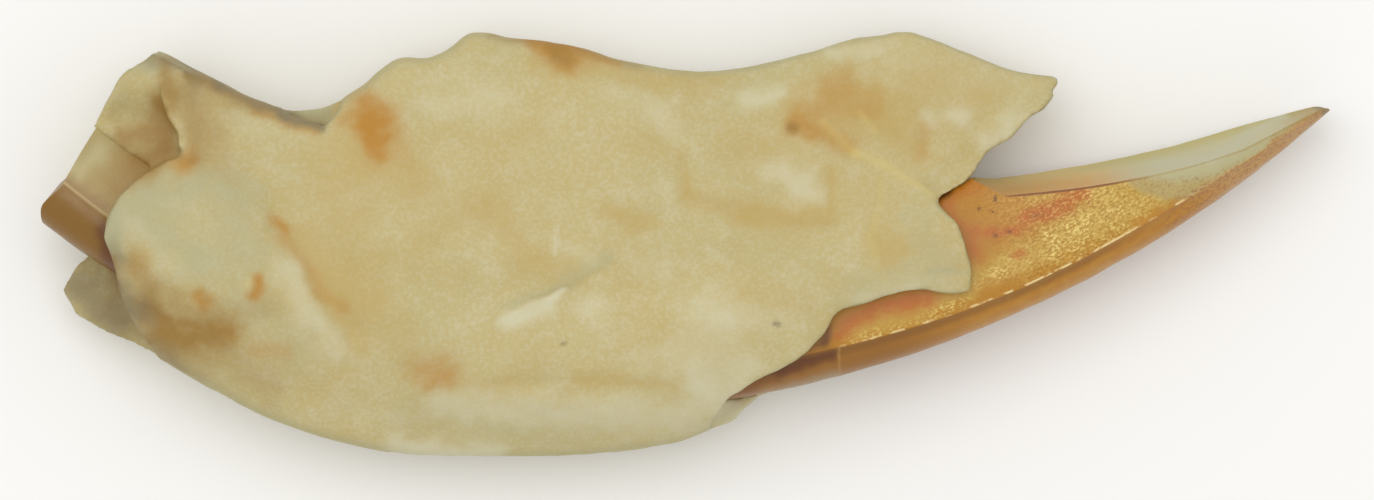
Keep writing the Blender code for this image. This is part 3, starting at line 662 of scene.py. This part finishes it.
def bone_ring(x):
    """One closed cross-section of the unbroken bone across X."""
    low = lower_edge(x)
    high = float(smooth_through(UPPER_EDGE, x))
    plate_middle = float(smooth_through(OUTER_PLATE, x) + smooth_through(INNER_PLATE, x)) / 2
    turn = 2 * math.pi * (np.arange(BONE_POINTS) + 0.5) / BONE_POINTS
    share = (1 - np.cos(turn)) / 2
    y = low + (high - low) * share
    inner, outer = bone_faces(np.full_like(y, x), y)
    rim = LOWER_RIM_HEIGHT + (plate_middle - LOWER_RIM_HEIGHT) * share
    face = np.where(np.sin(turn) > 0, outer, inner)
    z = rim + (face - rim) * np.abs(np.sin(turn)) ** EDGE_ROUNDING
    return np.stack([np.full_like(y, x), y, np.maximum(z, 0.0)], axis=-1)


def new_object(name, data):
    made = bpy.data.objects.new(name, data)
    bpy.context.scene.collection.objects.link(made)
    return made


def closed_body(name, rows):
    """A closed body over rows of places, each row running once round the piece."""
    count, around = rows.shape[:2]
    first = np.arange(count - 1)[:, None] * around + np.arange(around)
    after = np.roll(first, -1, axis=1)
    quads = np.stack([first, after, after + around, first + around], axis=-1).reshape(-1, 4).tolist()
    ends = [list(range(around))[::-1], list(range((count - 1) * around, count * around))]
    bm = bmesh.new()
    mesh = bpy.data.meshes.new(name)
    mesh.from_pydata(rows.reshape(-1, 3).tolist(), [], quads + ends)
    bm.from_mesh(mesh)
    if bm.calc_volume(signed=True) < 0:
        bmesh.ops.reverse_faces(bm, faces=bm.faces)
    bm.to_mesh(mesh)
    bm.free()
    return new_object(name, mesh)


def broken_body(name, broken, straight, low, high):
    """A body of missing bone: uneven where the bone broke, straight where it runs clear of the bone."""
    fine = []
    for a, b in zip(broken, broken[1:]):
        count = max(1, round(math.dist(a, b) / BREAK_STEP))
        fine += [(a[0] + (b[0] - a[0]) * i / count, a[1] + (b[1] - a[1]) * i / count) for i in range(count)]
    fine.append(broken[-1])
    levels = np.linspace(low, high, max(2, round((high - low) / BREAK_LEVEL)))
    rows = []
    for z in levels:
        row = []
        for x, y in fine:
            at = Vector((x, y, z)) / BREAK_WOBBLE_SIZE
            off_x, off_y = noise.noise(at), noise.noise(at + BREAK_SHIFT)
            row.append((x + BREAK_WOBBLE * off_x, y + BREAK_WOBBLE * off_y, z))
        rows.append(row + [(x, y, z) for x, y in straight])
    return closed_body(name, np.array(rows))


def make_socket():
    angles = np.linspace(*SOCKET_DEG, SOCKET_ROWS)
    inward, side = tooth_section(angles, SOCKET_GAP)
    return closed_body("socket", tooth_places(angles, inward, side))


def settled_mesh(made):
    """The object's mesh with its modifiers applied."""
    seen = made.evaluated_get(bpy.context.evaluated_depsgraph_get())
    mesh = bpy.data.meshes.new_from_object(seen)
    made.modifiers.clear()
    made.data = mesh
    return mesh


def places_of(mesh, what="co"):
    flat = np.empty(len(mesh.vertices) * 3, np.float32)
    mesh.vertices.foreach_get(what, flat)
    return flat.reshape(-1, 3).astype(float)


def bone_relief(places, facing, sway):
    """Height of the bone's small forms at each vertex: waves, wrinkles, and the marks of the outer face."""
    height = sum(rise * clouds(places, *wave) for rise, *wave in BONE_WAVES)
    seen = ease(*MARK_FACING, facing[:, 2])
    for *points, width, rise in RELIEF_LINES:
        height += seen * rise * near_mark(places, sway, points, width)
    for *oval, rise in RELIEF_SPOTS:
        height += seen * rise * np.exp(-off_centre(places[:, 0], places[:, 1], *oval))
    return height


def raised_ledge(places):
    """Lift the ledge at the rear smoothly to the outer face towards the jaw's upper edge."""
    x, y, z = places.T
    outer = bone_faces(x, y)[1]
    share = ease(*LEDGE_RISE, y) * ease(*LEDGE_END, x) * ease(*LEDGE_TOP, z)
    return np.stack([x, y, z + share * np.clip(outer - EDGE_DROP - z, 0.0, None)], axis=-1)


def behind_break(places):
    """1 behind the outer wall's broken edge at the rear, 0 in front of it."""
    edge = np.interp(places[:, 1], *zip(*PATCH_END))
    return ease(PATCH_SHARPNESS, -PATCH_SHARPNESS, places[:, 0] - edge)


def keep_stains_and_painted_light(mesh, places, sway, stains, seen):
    """Store, for each colour of stain or painted light, how strongly each vertex takes it. The tan patch ends
    at the break.
    """
    for colour, marks in stains.items():
        clean = np.ones(len(places))
        reached = seen * behind_break(places) if colour == "tan" else seen
        for *points, width, strength in marks:
            clean *= 1 - strength * near_mark(places, sway, points, width)
        keep(mesh, colour, reached * (1 - clean))


def keep(mesh, name, values):
    """Store one number or one vector for each vertex, for the material to read."""
    kind, field = ("FLOAT", "value") if values.ndim == 1 else ("FLOAT_VECTOR", "vector")
    mesh.attributes.new(name, kind, "POINT").data.foreach_set(field, values.astype(np.float32).ravel())


def fit_to_size(mesh, places):
    """Put the vertices at their places, in metres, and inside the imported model's box."""
    low, high = (np.array([c / MM for c in corner]) for corner in cad_box)
    places = np.clip(places, low, high)
    mesh.vertices.foreach_set("co", (places * MM).astype(np.float32).ravel())
    mesh.update()


def make_bone():
    xs = np.arange(BONE_START, BONE_END + BONE_STATION / 2, BONE_STATION)
    bone = closed_body("fossil_jaw_bone", np.array([bone_ring(x) for x in xs]))
    missing = [make_socket()] + [broken_body(name, *where) for name, where in MISSING_BONE.items()]
    for body in missing:
        step = bone.modifiers.new(body.name, "BOOLEAN")
        step.solver = "MANIFOLD"
        step.object = body
    grain = bone.modifiers.new("even_mesh", "REMESH")
    grain.mode = "VOXEL"
    grain.voxel_size = BONE_VOXEL
    worn = bone.modifiers.new("worn_edges", "SMOOTH")
    worn.iterations = WEAR_PASSES
    mesh = settled_mesh(bone)
    for body in missing:
        bpy.data.objects.remove(body)
    places = raised_ledge(places_of(mesh))
    mesh.vertices.foreach_set("co", places.astype(np.float32).ravel())
    facing = places_of(mesh, "normal")
    seen = ease(*BONE_STAIN_AND_LIGHT_FACING, facing[:, 2]) * ease(*BONE_STAIN_AND_LIGHT_HEIGHT, places[:, 2])
    sway = sway_of(places)
    keep_stains_and_painted_light(mesh, places, sway, BONE_STAINS_AND_PAINTED_LIGHT, seen)
    # The rim attribute is painted shade: how far each face of the bone looks sideways.
    keep(mesh, "rim", ease(*EDGE_SHADE_FACING, np.abs(facing[:, 2])))
    fit_to_size(mesh, places + facing * bone_relief(places, facing, sway)[:, None])
    mesh.shade_smooth()
    return bone


def pulp_rows(angles, rows):
    """The pulp cavity's wall from its bottom out to the rim, as rows that the tooth's own rows follow."""
    inside = []
    for share in np.linspace(1.0, 0.0, PULP_ROWS):
        at = ROOT_DEG + math.degrees(PULP_DEPTH / REAR_RADIUS) * share
        ring = rows[int(np.argmin(np.abs(angles - at)))]
        middle = ring.mean(axis=0)
        opened = math.sqrt(max(1 - share**2, PULP_BLUNTNESS))
        inside.append(middle + (ring - middle) * PULP_SHARE * opened)
    return np.array(inside + [(inside[-1] + rows[0]) / 2])


def tooth_relief(over_enamel, under_facet, worn, places):
    """Height of the tooth's small forms."""
    ridge = ENAMEL_RIDGE * np.exp(-((over_enamel / ENAMEL_RIDGE_WIDTH) ** 2))
    groove = ENAMEL_GROOVE * np.exp(-(((over_enamel + ENAMEL_GROOVE_PLACE) / ENAMEL_GROOVE_WIDTH) ** 2))
    hollow = DENTINE_HOLLOW * ease(*HOLLOW_OVER_ENAMEL, over_enamel) * ease(*HOLLOW_UNDER_FACET, under_facet)
    rise, *wave = TOOTH_WAVES
    return ridge - groove - hollow * (1 - worn) + rise * clouds(places, *wave)


def tooth_rows():
    """Places of the tooth's surface in rows round it, root end first, and what each of them is."""
    angles = [np.linspace(start, end, count, endpoint=False) for start, end, count in ROW_STRETCHES]
    angles = np.concatenate(angles + [TIP_DEG - TIP_RUN_DEG * np.linspace(1, 0, TIP_ROWS) ** 2])
    inward, side = tooth_section(angles)
    places = tooth_places(angles, inward, side)
    corner = ROOT_CORNER_RUN * np.clip(1 - inward[0] / ROOT_CORNER, 0, 1) ** 2
    corner = np.degrees((corner + ROOT_SETBACK * ease(*ROOT_SETBACK_RISE, inward[0])) / REAR_RADIUS)
    near_end = ease(ROOT_LEAN_START_DEG, ROOT_DEG, angles)
    for i in np.flatnonzero(near_end):
        turned = angles[i] - near_end[i] * (ROOT_LEAN_DEG * inward[i] - corner)
        places[i] = tooth_places(turned, inward[i][:, None], side[i][:, None])[:, 0]
    deg = angles[:, None] + np.zeros_like(inward)
    worn = np.zeros_like(inward)
    worn[:, SIDE_POINTS:] = 1
    across = np.where(side > 0, 0.0, 1.0)
    across[:, SIDE_POINTS:] = CREST_SHARES
    facts = {
        "along": deg,
        "inward": inward,
        "over_enamel": inward - smooth_through(ENAMEL_EDGE, deg),
        "under_facet": np.where(side > 0, inward[:, SIDE_POINTS - 1, None] - inward, FAR_UNDER_FACET),
        "worn": worn * ease(FACET_TILT_START_DEG, FACET_START_DEG, deg),
        "across": across,
        "pulp": np.zeros_like(inward),
    }
    inside = pulp_rows(angles, places)
    for name, rows in facts.items():
        first = np.repeat(rows[:1], len(inside), axis=0)
        facts[name] = np.concatenate([first + (name == "pulp"), rows]).ravel()
    return np.concatenate([inside, places]), facts


def make_tooth():
    rows, facts = tooth_rows()
    tooth = closed_body("fossil_incisor", rows)
    mesh = tooth.data
    places = places_of(mesh)
    facing = places_of(mesh, "normal")
    for name in ("along", "over_enamel", "under_facet", "worn", "across"):
        keep(mesh, name, facts[name])
    length = np.radians(facts["along"]) * FRONT_RADIUS / CRACKLE_STRETCH
    keep(mesh, "crackle_place", np.stack([length, facts["inward"], places[:, 2]], axis=-1) * MM)
    sway = sway_of(places)
    keep_stains_and_painted_light(mesh, places, sway, TOOTH_STAINS_AND_PAINTED_LIGHT, ease(*TOOTH_STAIN_AND_LIGHT_FACING, facing[:, 2]))
    x = places[:, 0] + BORDER_SWAY * sway[0]
    y = places[:, 1] + BORDER_SWAY * sway[1]
    borders = {"pale_tip": (PALE_TIP, PALE_TIP_FADES), "brown_edging": (BROWN_EDGING, BROWN_EDGING_FADES)}
    for name, (border, (fade_over, fade_along)) in borders.items():
        keep(mesh, name, ease(*fade_over, y - smooth_through(border, x)) * ease(*fade_along, x))
    height = tooth_relief(facts["over_enamel"], facts["under_facet"], facts["worn"], places)
    height *= ease(TIP_DEG, TIP_DEG - TIP_FADE_DEG, facts["along"]) * (1 - facts["pulp"])
    height *= ease(ROOT_DEG, ROOT_DEG + ROOT_FADE_DEG, facts["along"])
    fit_to_size(mesh, places + facing * height[:, None])
    mesh.shade_smooth()
    mesh.set_sharp_from_angle(angle=math.radians(CRISP_EDGE_DEG))
    return tooth


def fill(tree, node, inputs):
    """Give each of a node's named inputs a value or a link."""
    for key, value in inputs.items():
        if isinstance(value, bpy.types.NodeSocket):
            tree.links.new(value, node.inputs[key])
        else:
            node.inputs[key].default_value = value


def put(tree, kind, inputs=None, **settings):
    """Add a node with its settings and links."""
    node = tree.nodes.new("ShaderNode" + kind)
    for name, value in settings.items():
        setattr(node, name, value)
    fill(tree, node, inputs or {})
    return node


BUMP_STRENGTH = 0.5


def per_mm(size):
    """Scale of a pattern whose patches are about this many millimetres wide."""
    return 1 / (size * MM)


def new_finish(name):
    material = bpy.data.materials.new(name)
    material.use_nodes = True
    return material, material.node_tree


def dress(piece, material, inputs):
    """Fill the material's shader, and give the piece that material alone."""
    fill(material.node_tree, material.node_tree.nodes["Principled BSDF"], inputs)
    piece.data.materials.clear()
    piece.data.materials.append(material)


# Fossil bone: porous calcium phosphate that ground water has filled and tinted. Weathering left it dry and
# smooth, so it is matt, cream to straw coloured, cloudy at a few millimetres, and stained where water stood.
BONE_CREAM = "#bdaf7c"
BONE_STRAW = "#baa56a"
BONE_SHELL = "#c6bc97"
BONE_LICHEN = "#b0a879"
# Painted shade for the bone's edges, where a face looks sideways.
BONE_PAINTED_EDGE_SHADE = "#a8a175"
BONE_STAIN_AND_PAINTED_LIGHT_COLOURS = {
    "ochre": "#b69b58",
    "straw": "#ccba76",
    "moss": "#aaa680",
    "chalk": "#cbc5a4",
    "tan": "#9e7d44",
    "rust_and_painted_shade": "#b07b24",
    "umber_and_painted_shade": "#93702f",
    "slate": "#7a6c50",
}
BONE_ROUGHNESS = 0.62
BONE_ROUGHNESS_SPREAD = 0.1
BONE_IOR = 1.55
BONE_GLOSS = 0.28
# Patterns of the bone: width of a patch, detail, roughness of the detail. Real pores are about 0.05 wide, too
# fine to show, so their grain is drawn four times as coarse.
BONE_PATTERNS = {
    "seep": (8.0, 2.0, 0.5),
    "cloud": (4.0, 4.0, 0.5),
    "fleck": (1.5, 6.0, 0.62),
    "grain": (0.2, 3.0, 0.5),
}
BONE_BUMPS = {"fleck": 0.1, "grain": 0.03}

# Fossil enamel and dentine: the enamel of the lower edge kept some of its polish and its orange-brown iron
# colour. The dentine of the sides has turned gold, with a fine crackle of dark flecks and of painted glints,
# bright specks that stand for light.
ENAMEL_BROWN = "#ae7625"
GROOVE_BROWN = "#7e5218"
# Painted highlight along the upper edge of the enamel.
ENAMEL_EDGE_PAINTED_HIGHLIGHT = "#ead49a"
ENAMEL_TIP = "#b88f58"
ENAMEL_SPECK = "#8c5836"
DENTINE_AMBER = "#b07a1e"
DENTINE_DARK = "#94601a"
DENTINE_TAN = "#bb9036"
DENTINE_HORN = "#b3ac82"
TIP_TAN = "#b19d62"
TIP_HORN = "#a08848"
TIP_RIM = "#6f5f34"
FACET_BONE = "#bab48e"
FACET_OLIVE = "#b2a668"
FACET_PALE = "#d2bc80"
FACET_TAN = "#cc9c58"
FACET_LINE = "#7a431c"
ROOT_BROWN = "#805b1a"
ROOT_TAN = "#a8925c"
TOOTH_STAIN_AND_PAINTED_LIGHT_COLOURS = {
    "gold": "#bc9842",
    "painted_glint": "#e8d07a",
    "amber": "#b47c22",
    "rust_and_painted_shade": "#b25c18",
    "tan": "#9e7d44",
    "shade": "#633610",
    "ash": "#94764a",
    "chalk": "#b5a878",
    "mist": "#b9b596",
    "line": "#b08c50",
    "pit": "#5a2f12",
}
STAINS_AND_SHADE_ON_TOP = ("tan", "shade", "ash", "chalk", "mist", "line", "pit")
TOOTH_ROUGHNESS = 0.36
TOOTH_IOR = 1.62
TOOTH_GLOSS = 0.3
FACET_ROUGHNESS = 0.6
# Patterns of the tooth: width of a patch, detail, distortion. The crackle's flecks have their real width.
TOOTH_PATTERNS = {"patch": (1.3, 3.0, 0.0), "crackle": (0.11, 3.0, 0.4), "speck": (0.4, 4.0, 0.0)}
CRACKLE_BUMP = 0.04


def layered(tree, base, layers):
    """A base colour under tints laid over it in turn: tint, strength, and what each depends on.

    A tint rises with every pattern or place named for it, from the first value given to the second.
    """
    colour = linear(base)
    for tint, amount, *causes in layers:
        share = amount
        for source, low, high in causes:
            risen = put(tree, "MapRange", {0: source, 1: low, 2: high}, interpolation_type="SMOOTHSTEP")
            share = put(tree, "Math", {0: share, 1: risen.outputs[0]}, operation="MULTIPLY").outputs[0]
        colour = put(tree, "Mix", {0: share, 6: colour, 7: linear(tint)}, data_type="RGBA").outputs[2]
    return colour


def finish_bone(bone):
    material, tree = new_finish("fossil_bone_weathered")
    read = {name: put(tree, "Attribute", attribute_name=name).outputs["Fac"]
            for name in ["rim"] + list(BONE_STAIN_AND_PAINTED_LIGHT_COLOURS)}
    place = put(tree, "TexCoord").outputs["Object"]
    for name, (width, detail, rough) in BONE_PATTERNS.items():
        inputs = {"Vector": place, "Scale": per_mm(width), "Detail": detail, "Roughness": rough}
        read[name] = put(tree, "TexNoise", inputs).outputs[0]
    fleck, grain = read["fleck"], read["grain"]
    layers = [
        (BONE_LICHEN, 0.6, (read["seep"], 0.42, 0.66)),
        (BONE_STRAW, 0.6, (read["cloud"], 0.4, 0.68)),
        (BONE_SHELL, 0.5, (fleck, 0.44, 0.72)),
        (BONE_STRAW, 0.4, (grain, 0.45, 0.65)),
        (BONE_SHELL, 0.3, (grain, 0.5, 0.35)),
        # Painted shade on the bone's sideways-looking edges.
        (BONE_PAINTED_EDGE_SHADE, 0.6, (read["rim"], 0.0, 1.0)),
    ]
    for name, tint in BONE_STAIN_AND_PAINTED_LIGHT_COLOURS.items():
        layers.append((tint, 0.97, (read[name], 0.0, 1.0), (fleck, -0.2, 0.6)))
    colour = layered(tree, BONE_CREAM, layers)
    least, most = BONE_ROUGHNESS - BONE_ROUGHNESS_SPREAD, BONE_ROUGHNESS + BONE_ROUGHNESS_SPREAD
    rough = put(tree, "MapRange", {0: grain, 3: least, 4: most})
    under = {}
    for name, relief in BONE_BUMPS.items():
        inputs = {"Height": read[name], "Strength": BUMP_STRENGTH, "Distance": relief * MM, **under}
        under = {"Normal": put(tree, "Bump", inputs).outputs[0]}
    dress(bone, material, {
        "Base Color": colour, "Roughness": rough.outputs[0], **under,
        "IOR": BONE_IOR, "Specular IOR Level": BONE_GLOSS,
    })


def tooth_layers(read):
    """The tooth's tints, from stained dentine and painted glints out to enamel, painted highlight and marks
    on top.
    """
    along, over, under, across = (read[name] for name in ("along", "over_enamel", "under_facet", "across"))
    pale, edging = read["pale_tip"], read["brown_edging"]
    patch, crackle, speck = read["patch"], read["crackle"], read["speck"]
    root = (along, -21.0, -26.0)
    enamel = (over, 0.05, -0.05)
    facet = (read["worn"], 0.3, 0.7)
    facet_rim = ((under, -0.02, 0.02), (under, 0.14, 0.08))
    line = (over, -0.04, 0.0)
    sparse, sparser = (speck, 0.43, 0.52), (speck, 0.5, 0.58)
    tint = TOOTH_STAIN_AND_PAINTED_LIGHT_COLOURS
    return [
        (DENTINE_TAN, 0.6, (patch, 0.38, 0.62), (along, 24.0, 29.0)),
        (tint["gold"], 0.95, (read["gold"], 0.0, 0.9)),
        (tint["rust_and_painted_shade"], 0.9, (read["rust_and_painted_shade"], 0.0, 1.0), (speck, 0.1, 0.55)),
        (DENTINE_DARK, 0.5, (crackle, 0.48, 0.36), (along, 21.0, 26.0)),
        # Painted glints: bright specks of the crackle, sparse over the side and dense in the painted_glint
        # marks.
        (tint["painted_glint"], 0.32, (crackle, 0.52, 0.62), (along, 23.5, 28.0)),
        (tint["painted_glint"], 0.8, (crackle, 0.5, 0.62), (read["painted_glint"], 0.0, 0.9), (patch, 0.35, 0.6)),
        (TIP_TAN, 0.95, (pale, 0.05, 0.35)),
        (DENTINE_HORN, 0.95, (pale, 0.6, 1.0), (speck, 0.1, 0.45)),
        (ENAMEL_SPECK, 0.4, (pale, 0.1, 0.4), (pale, 1.0, 0.8), (crackle, 0.48, 0.66)),
        (TIP_HORN, 0.8, (pale, 0.6, 1.0), (along, 38.5, 41.0)),
        (tint["amber"], 0.9, (read["amber"], 0.0, 1.0)),
        (ROOT_TAN, 1.0, root),
        (FACET_TAN, 0.95, facet),
        (FACET_PALE, 0.9, facet, (across, 0.3, 1.0)),
        (FACET_BONE, 0.2, facet, (speck, 0.45, 0.62)),
        (FACET_BONE, 0.95, facet, (along, 29.5, 33.0)),
        (FACET_OLIVE, 0.85, facet, (across, 0.55, 0.95), (along, 27.0, 32.0)),
        (TIP_HORN, 0.7, facet, (along, 38.5, 41.5)),
        (ENAMEL_BROWN, 1.0, enamel),
        (GROOVE_BROWN, 0.66, enamel, (along, 23.5, 17.0)),
        (DENTINE_TAN, 0.3, enamel, (speck, 0.4, 0.6), (along, 18.0, 24.0)),
        (GROOVE_BROWN, 0.65, (over, 0.0, -0.1), (over, -0.6, -0.3), (along, 33.5, 27.0)),
        (ROOT_BROWN, 0.95, enamel, root),
        (ENAMEL_TIP, 0.95, (edging, 0.0, 1.0), (along, 33.0, 36.5)),
        (ENAMEL_SPECK, 0.5, (edging, 0.0, 0.8), (crackle, 0.44, 0.62)),
        # These marks on top include the painted shade.
        *[(tint[name], 0.95, (read[name], 0.0, 1.0)) for name in STAINS_AND_SHADE_ON_TOP],
        (TIP_RIM, 0.75, (along, 41.15, 41.6)),
        # Painted highlight along the enamel's upper edge: broken dashes at the front, soft at the root.
        (ENAMEL_EDGE_PAINTED_HIGHLIGHT, 0.85, line, (over, 0.09, 0.05), (along, 21.0, 24.5), (along, 34.5, 33.0), sparse),
        (ENAMEL_EDGE_PAINTED_HIGHLIGHT, 0.6, line, (over, 0.12, 0.05), (along, 14.5, 17.0), (along, 25.0, 23.0), sparser),
        (ENAMEL_EDGE_PAINTED_HIGHLIGHT, 0.25, (over, -0.12, -0.04), (over, 0.1, 0.02), root),
        (TIP_HORN, 0.5, *facet_rim, (along, 31.5, 34.0)),
        (FACET_LINE, 0.95, *facet_rim, (along, 25.2, 26.4), (along, 33.5, 30.5)),
    ]


def finish_tooth(tooth):
    material, tree = new_finish("fossil_enamel_and_dentine")
    names = ["along", "over_enamel", "under_facet", "worn", "across", "pale_tip", "brown_edging"]
    names += list(TOOTH_STAIN_AND_PAINTED_LIGHT_COLOURS)
    read = {name: put(tree, "Attribute", attribute_name=name).outputs["Fac"] for name in names}
    place = put(tree, "TexCoord").outputs["Object"]
    lengthwise = put(tree, "Attribute", attribute_name="crackle_place").outputs["Vector"]
    for name, (width, detail, warp) in TOOTH_PATTERNS.items():
        where = place if name == "patch" else lengthwise
        inputs = {"Vector": where, "Scale": per_mm(width), "Detail": detail, "Distortion": warp}
        read[name] = put(tree, "TexNoise", inputs).outputs[0]
    colour = layered(tree, DENTINE_AMBER, tooth_layers(read))
    inputs = {"Height": read["crackle"], "Strength": BUMP_STRENGTH, "Distance": CRACKLE_BUMP * MM}
    bump = put(tree, "Bump", inputs)
    rough = put(tree, "MapRange", {0: read["worn"], 3: TOOTH_ROUGHNESS, 4: FACET_ROUGHNESS})
    dress(tooth, material, {
        "Base Color": colour, "Roughness": rough.outputs[0], "Normal": bump.outputs[0],
        "IOR": TOOTH_IOR, "Specular IOR Level": TOOTH_GLOSS,
    })


# Surroundings: a plain pale table, matt as paper, so that it shows one even tone, under a large soft light.
FLOOR_SIDE = 3000.0
FLOOR_COLOUR = "#f3f2ef"
FLOOR_ROUGHNESS = 0.9
FLOOR_GLOSS = 0.1
SKY_STRENGTH = 0.82
LAMP_PLACE = (-70.0, 110.0, 400.0)
LAMP_SIDE = 400.0
LAMP_WATTS = 0.66

# Camera: a long lens straight above, framing what the photograph frames.
VIEW_WIDTH = 68.7
VIEW_MIDDLE = (0.05, -0.325, 4.0)
LENS = 240.0
SENSOR = 36.0
NEAREST = 10.0
FARTHEST = 10000.0


def make_floor():
    bm = bmesh.new()
    bmesh.ops.create_grid(bm, x_segments=1, y_segments=1, size=FLOOR_SIDE * MM / 2)
    mesh = bpy.data.meshes.new("floor")
    bm.to_mesh(mesh)
    bm.free()
    floor = new_object("floor", mesh)
    material = new_finish("pale_table")[0]
    dress(floor, material, {
        "Base Color": linear(FLOOR_COLOUR), "Roughness": FLOOR_ROUGHNESS, "Specular IOR Level": FLOOR_GLOSS,
    })


def make_lights():
    scene = bpy.context.scene
    scene.world = bpy.data.worlds.new("soft_sky")
    scene.world.use_nodes = True
    sky = scene.world.node_tree.nodes["Background"]
    sky.inputs["Color"].default_value = (1.0, 1.0, 1.0, 1.0)
    sky.inputs["Strength"].default_value = SKY_STRENGTH
    data = bpy.data.lights.new("soft_lamp", "AREA")
    data.size = LAMP_SIDE * MM
    data.energy = LAMP_WATTS
    lamp = new_object("soft_lamp", data)
    lamp.location = Vector(LAMP_PLACE) * MM
    lamp.rotation_euler = (-lamp.location).to_track_quat("-Z", "Y").to_euler()
    scene.view_settings.view_transform = "Standard"


def make_camera():
    data = bpy.data.cameras.new("camera")
    data.lens = LENS
    data.sensor_width = SENSOR
    data.clip_start = NEAREST * MM
    data.clip_end = FARTHEST * MM
    camera = new_object("camera", data)
    camera.location = Vector(VIEW_MIDDLE) * MM + Vector((0, 0, VIEW_WIDTH * MM * LENS / SENSOR))
    bpy.context.scene.camera = camera


bone = make_bone()
tooth = make_tooth()
finish_bone(bone)
finish_tooth(tooth)
for piece, node, slot in ((bone, "jaw_bone", "fossil_bone"), (tooth, "incisor", "tooth_enamel")):
    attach(piece, "root")
    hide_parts(node)
make_floor()
make_lights()
make_camera()
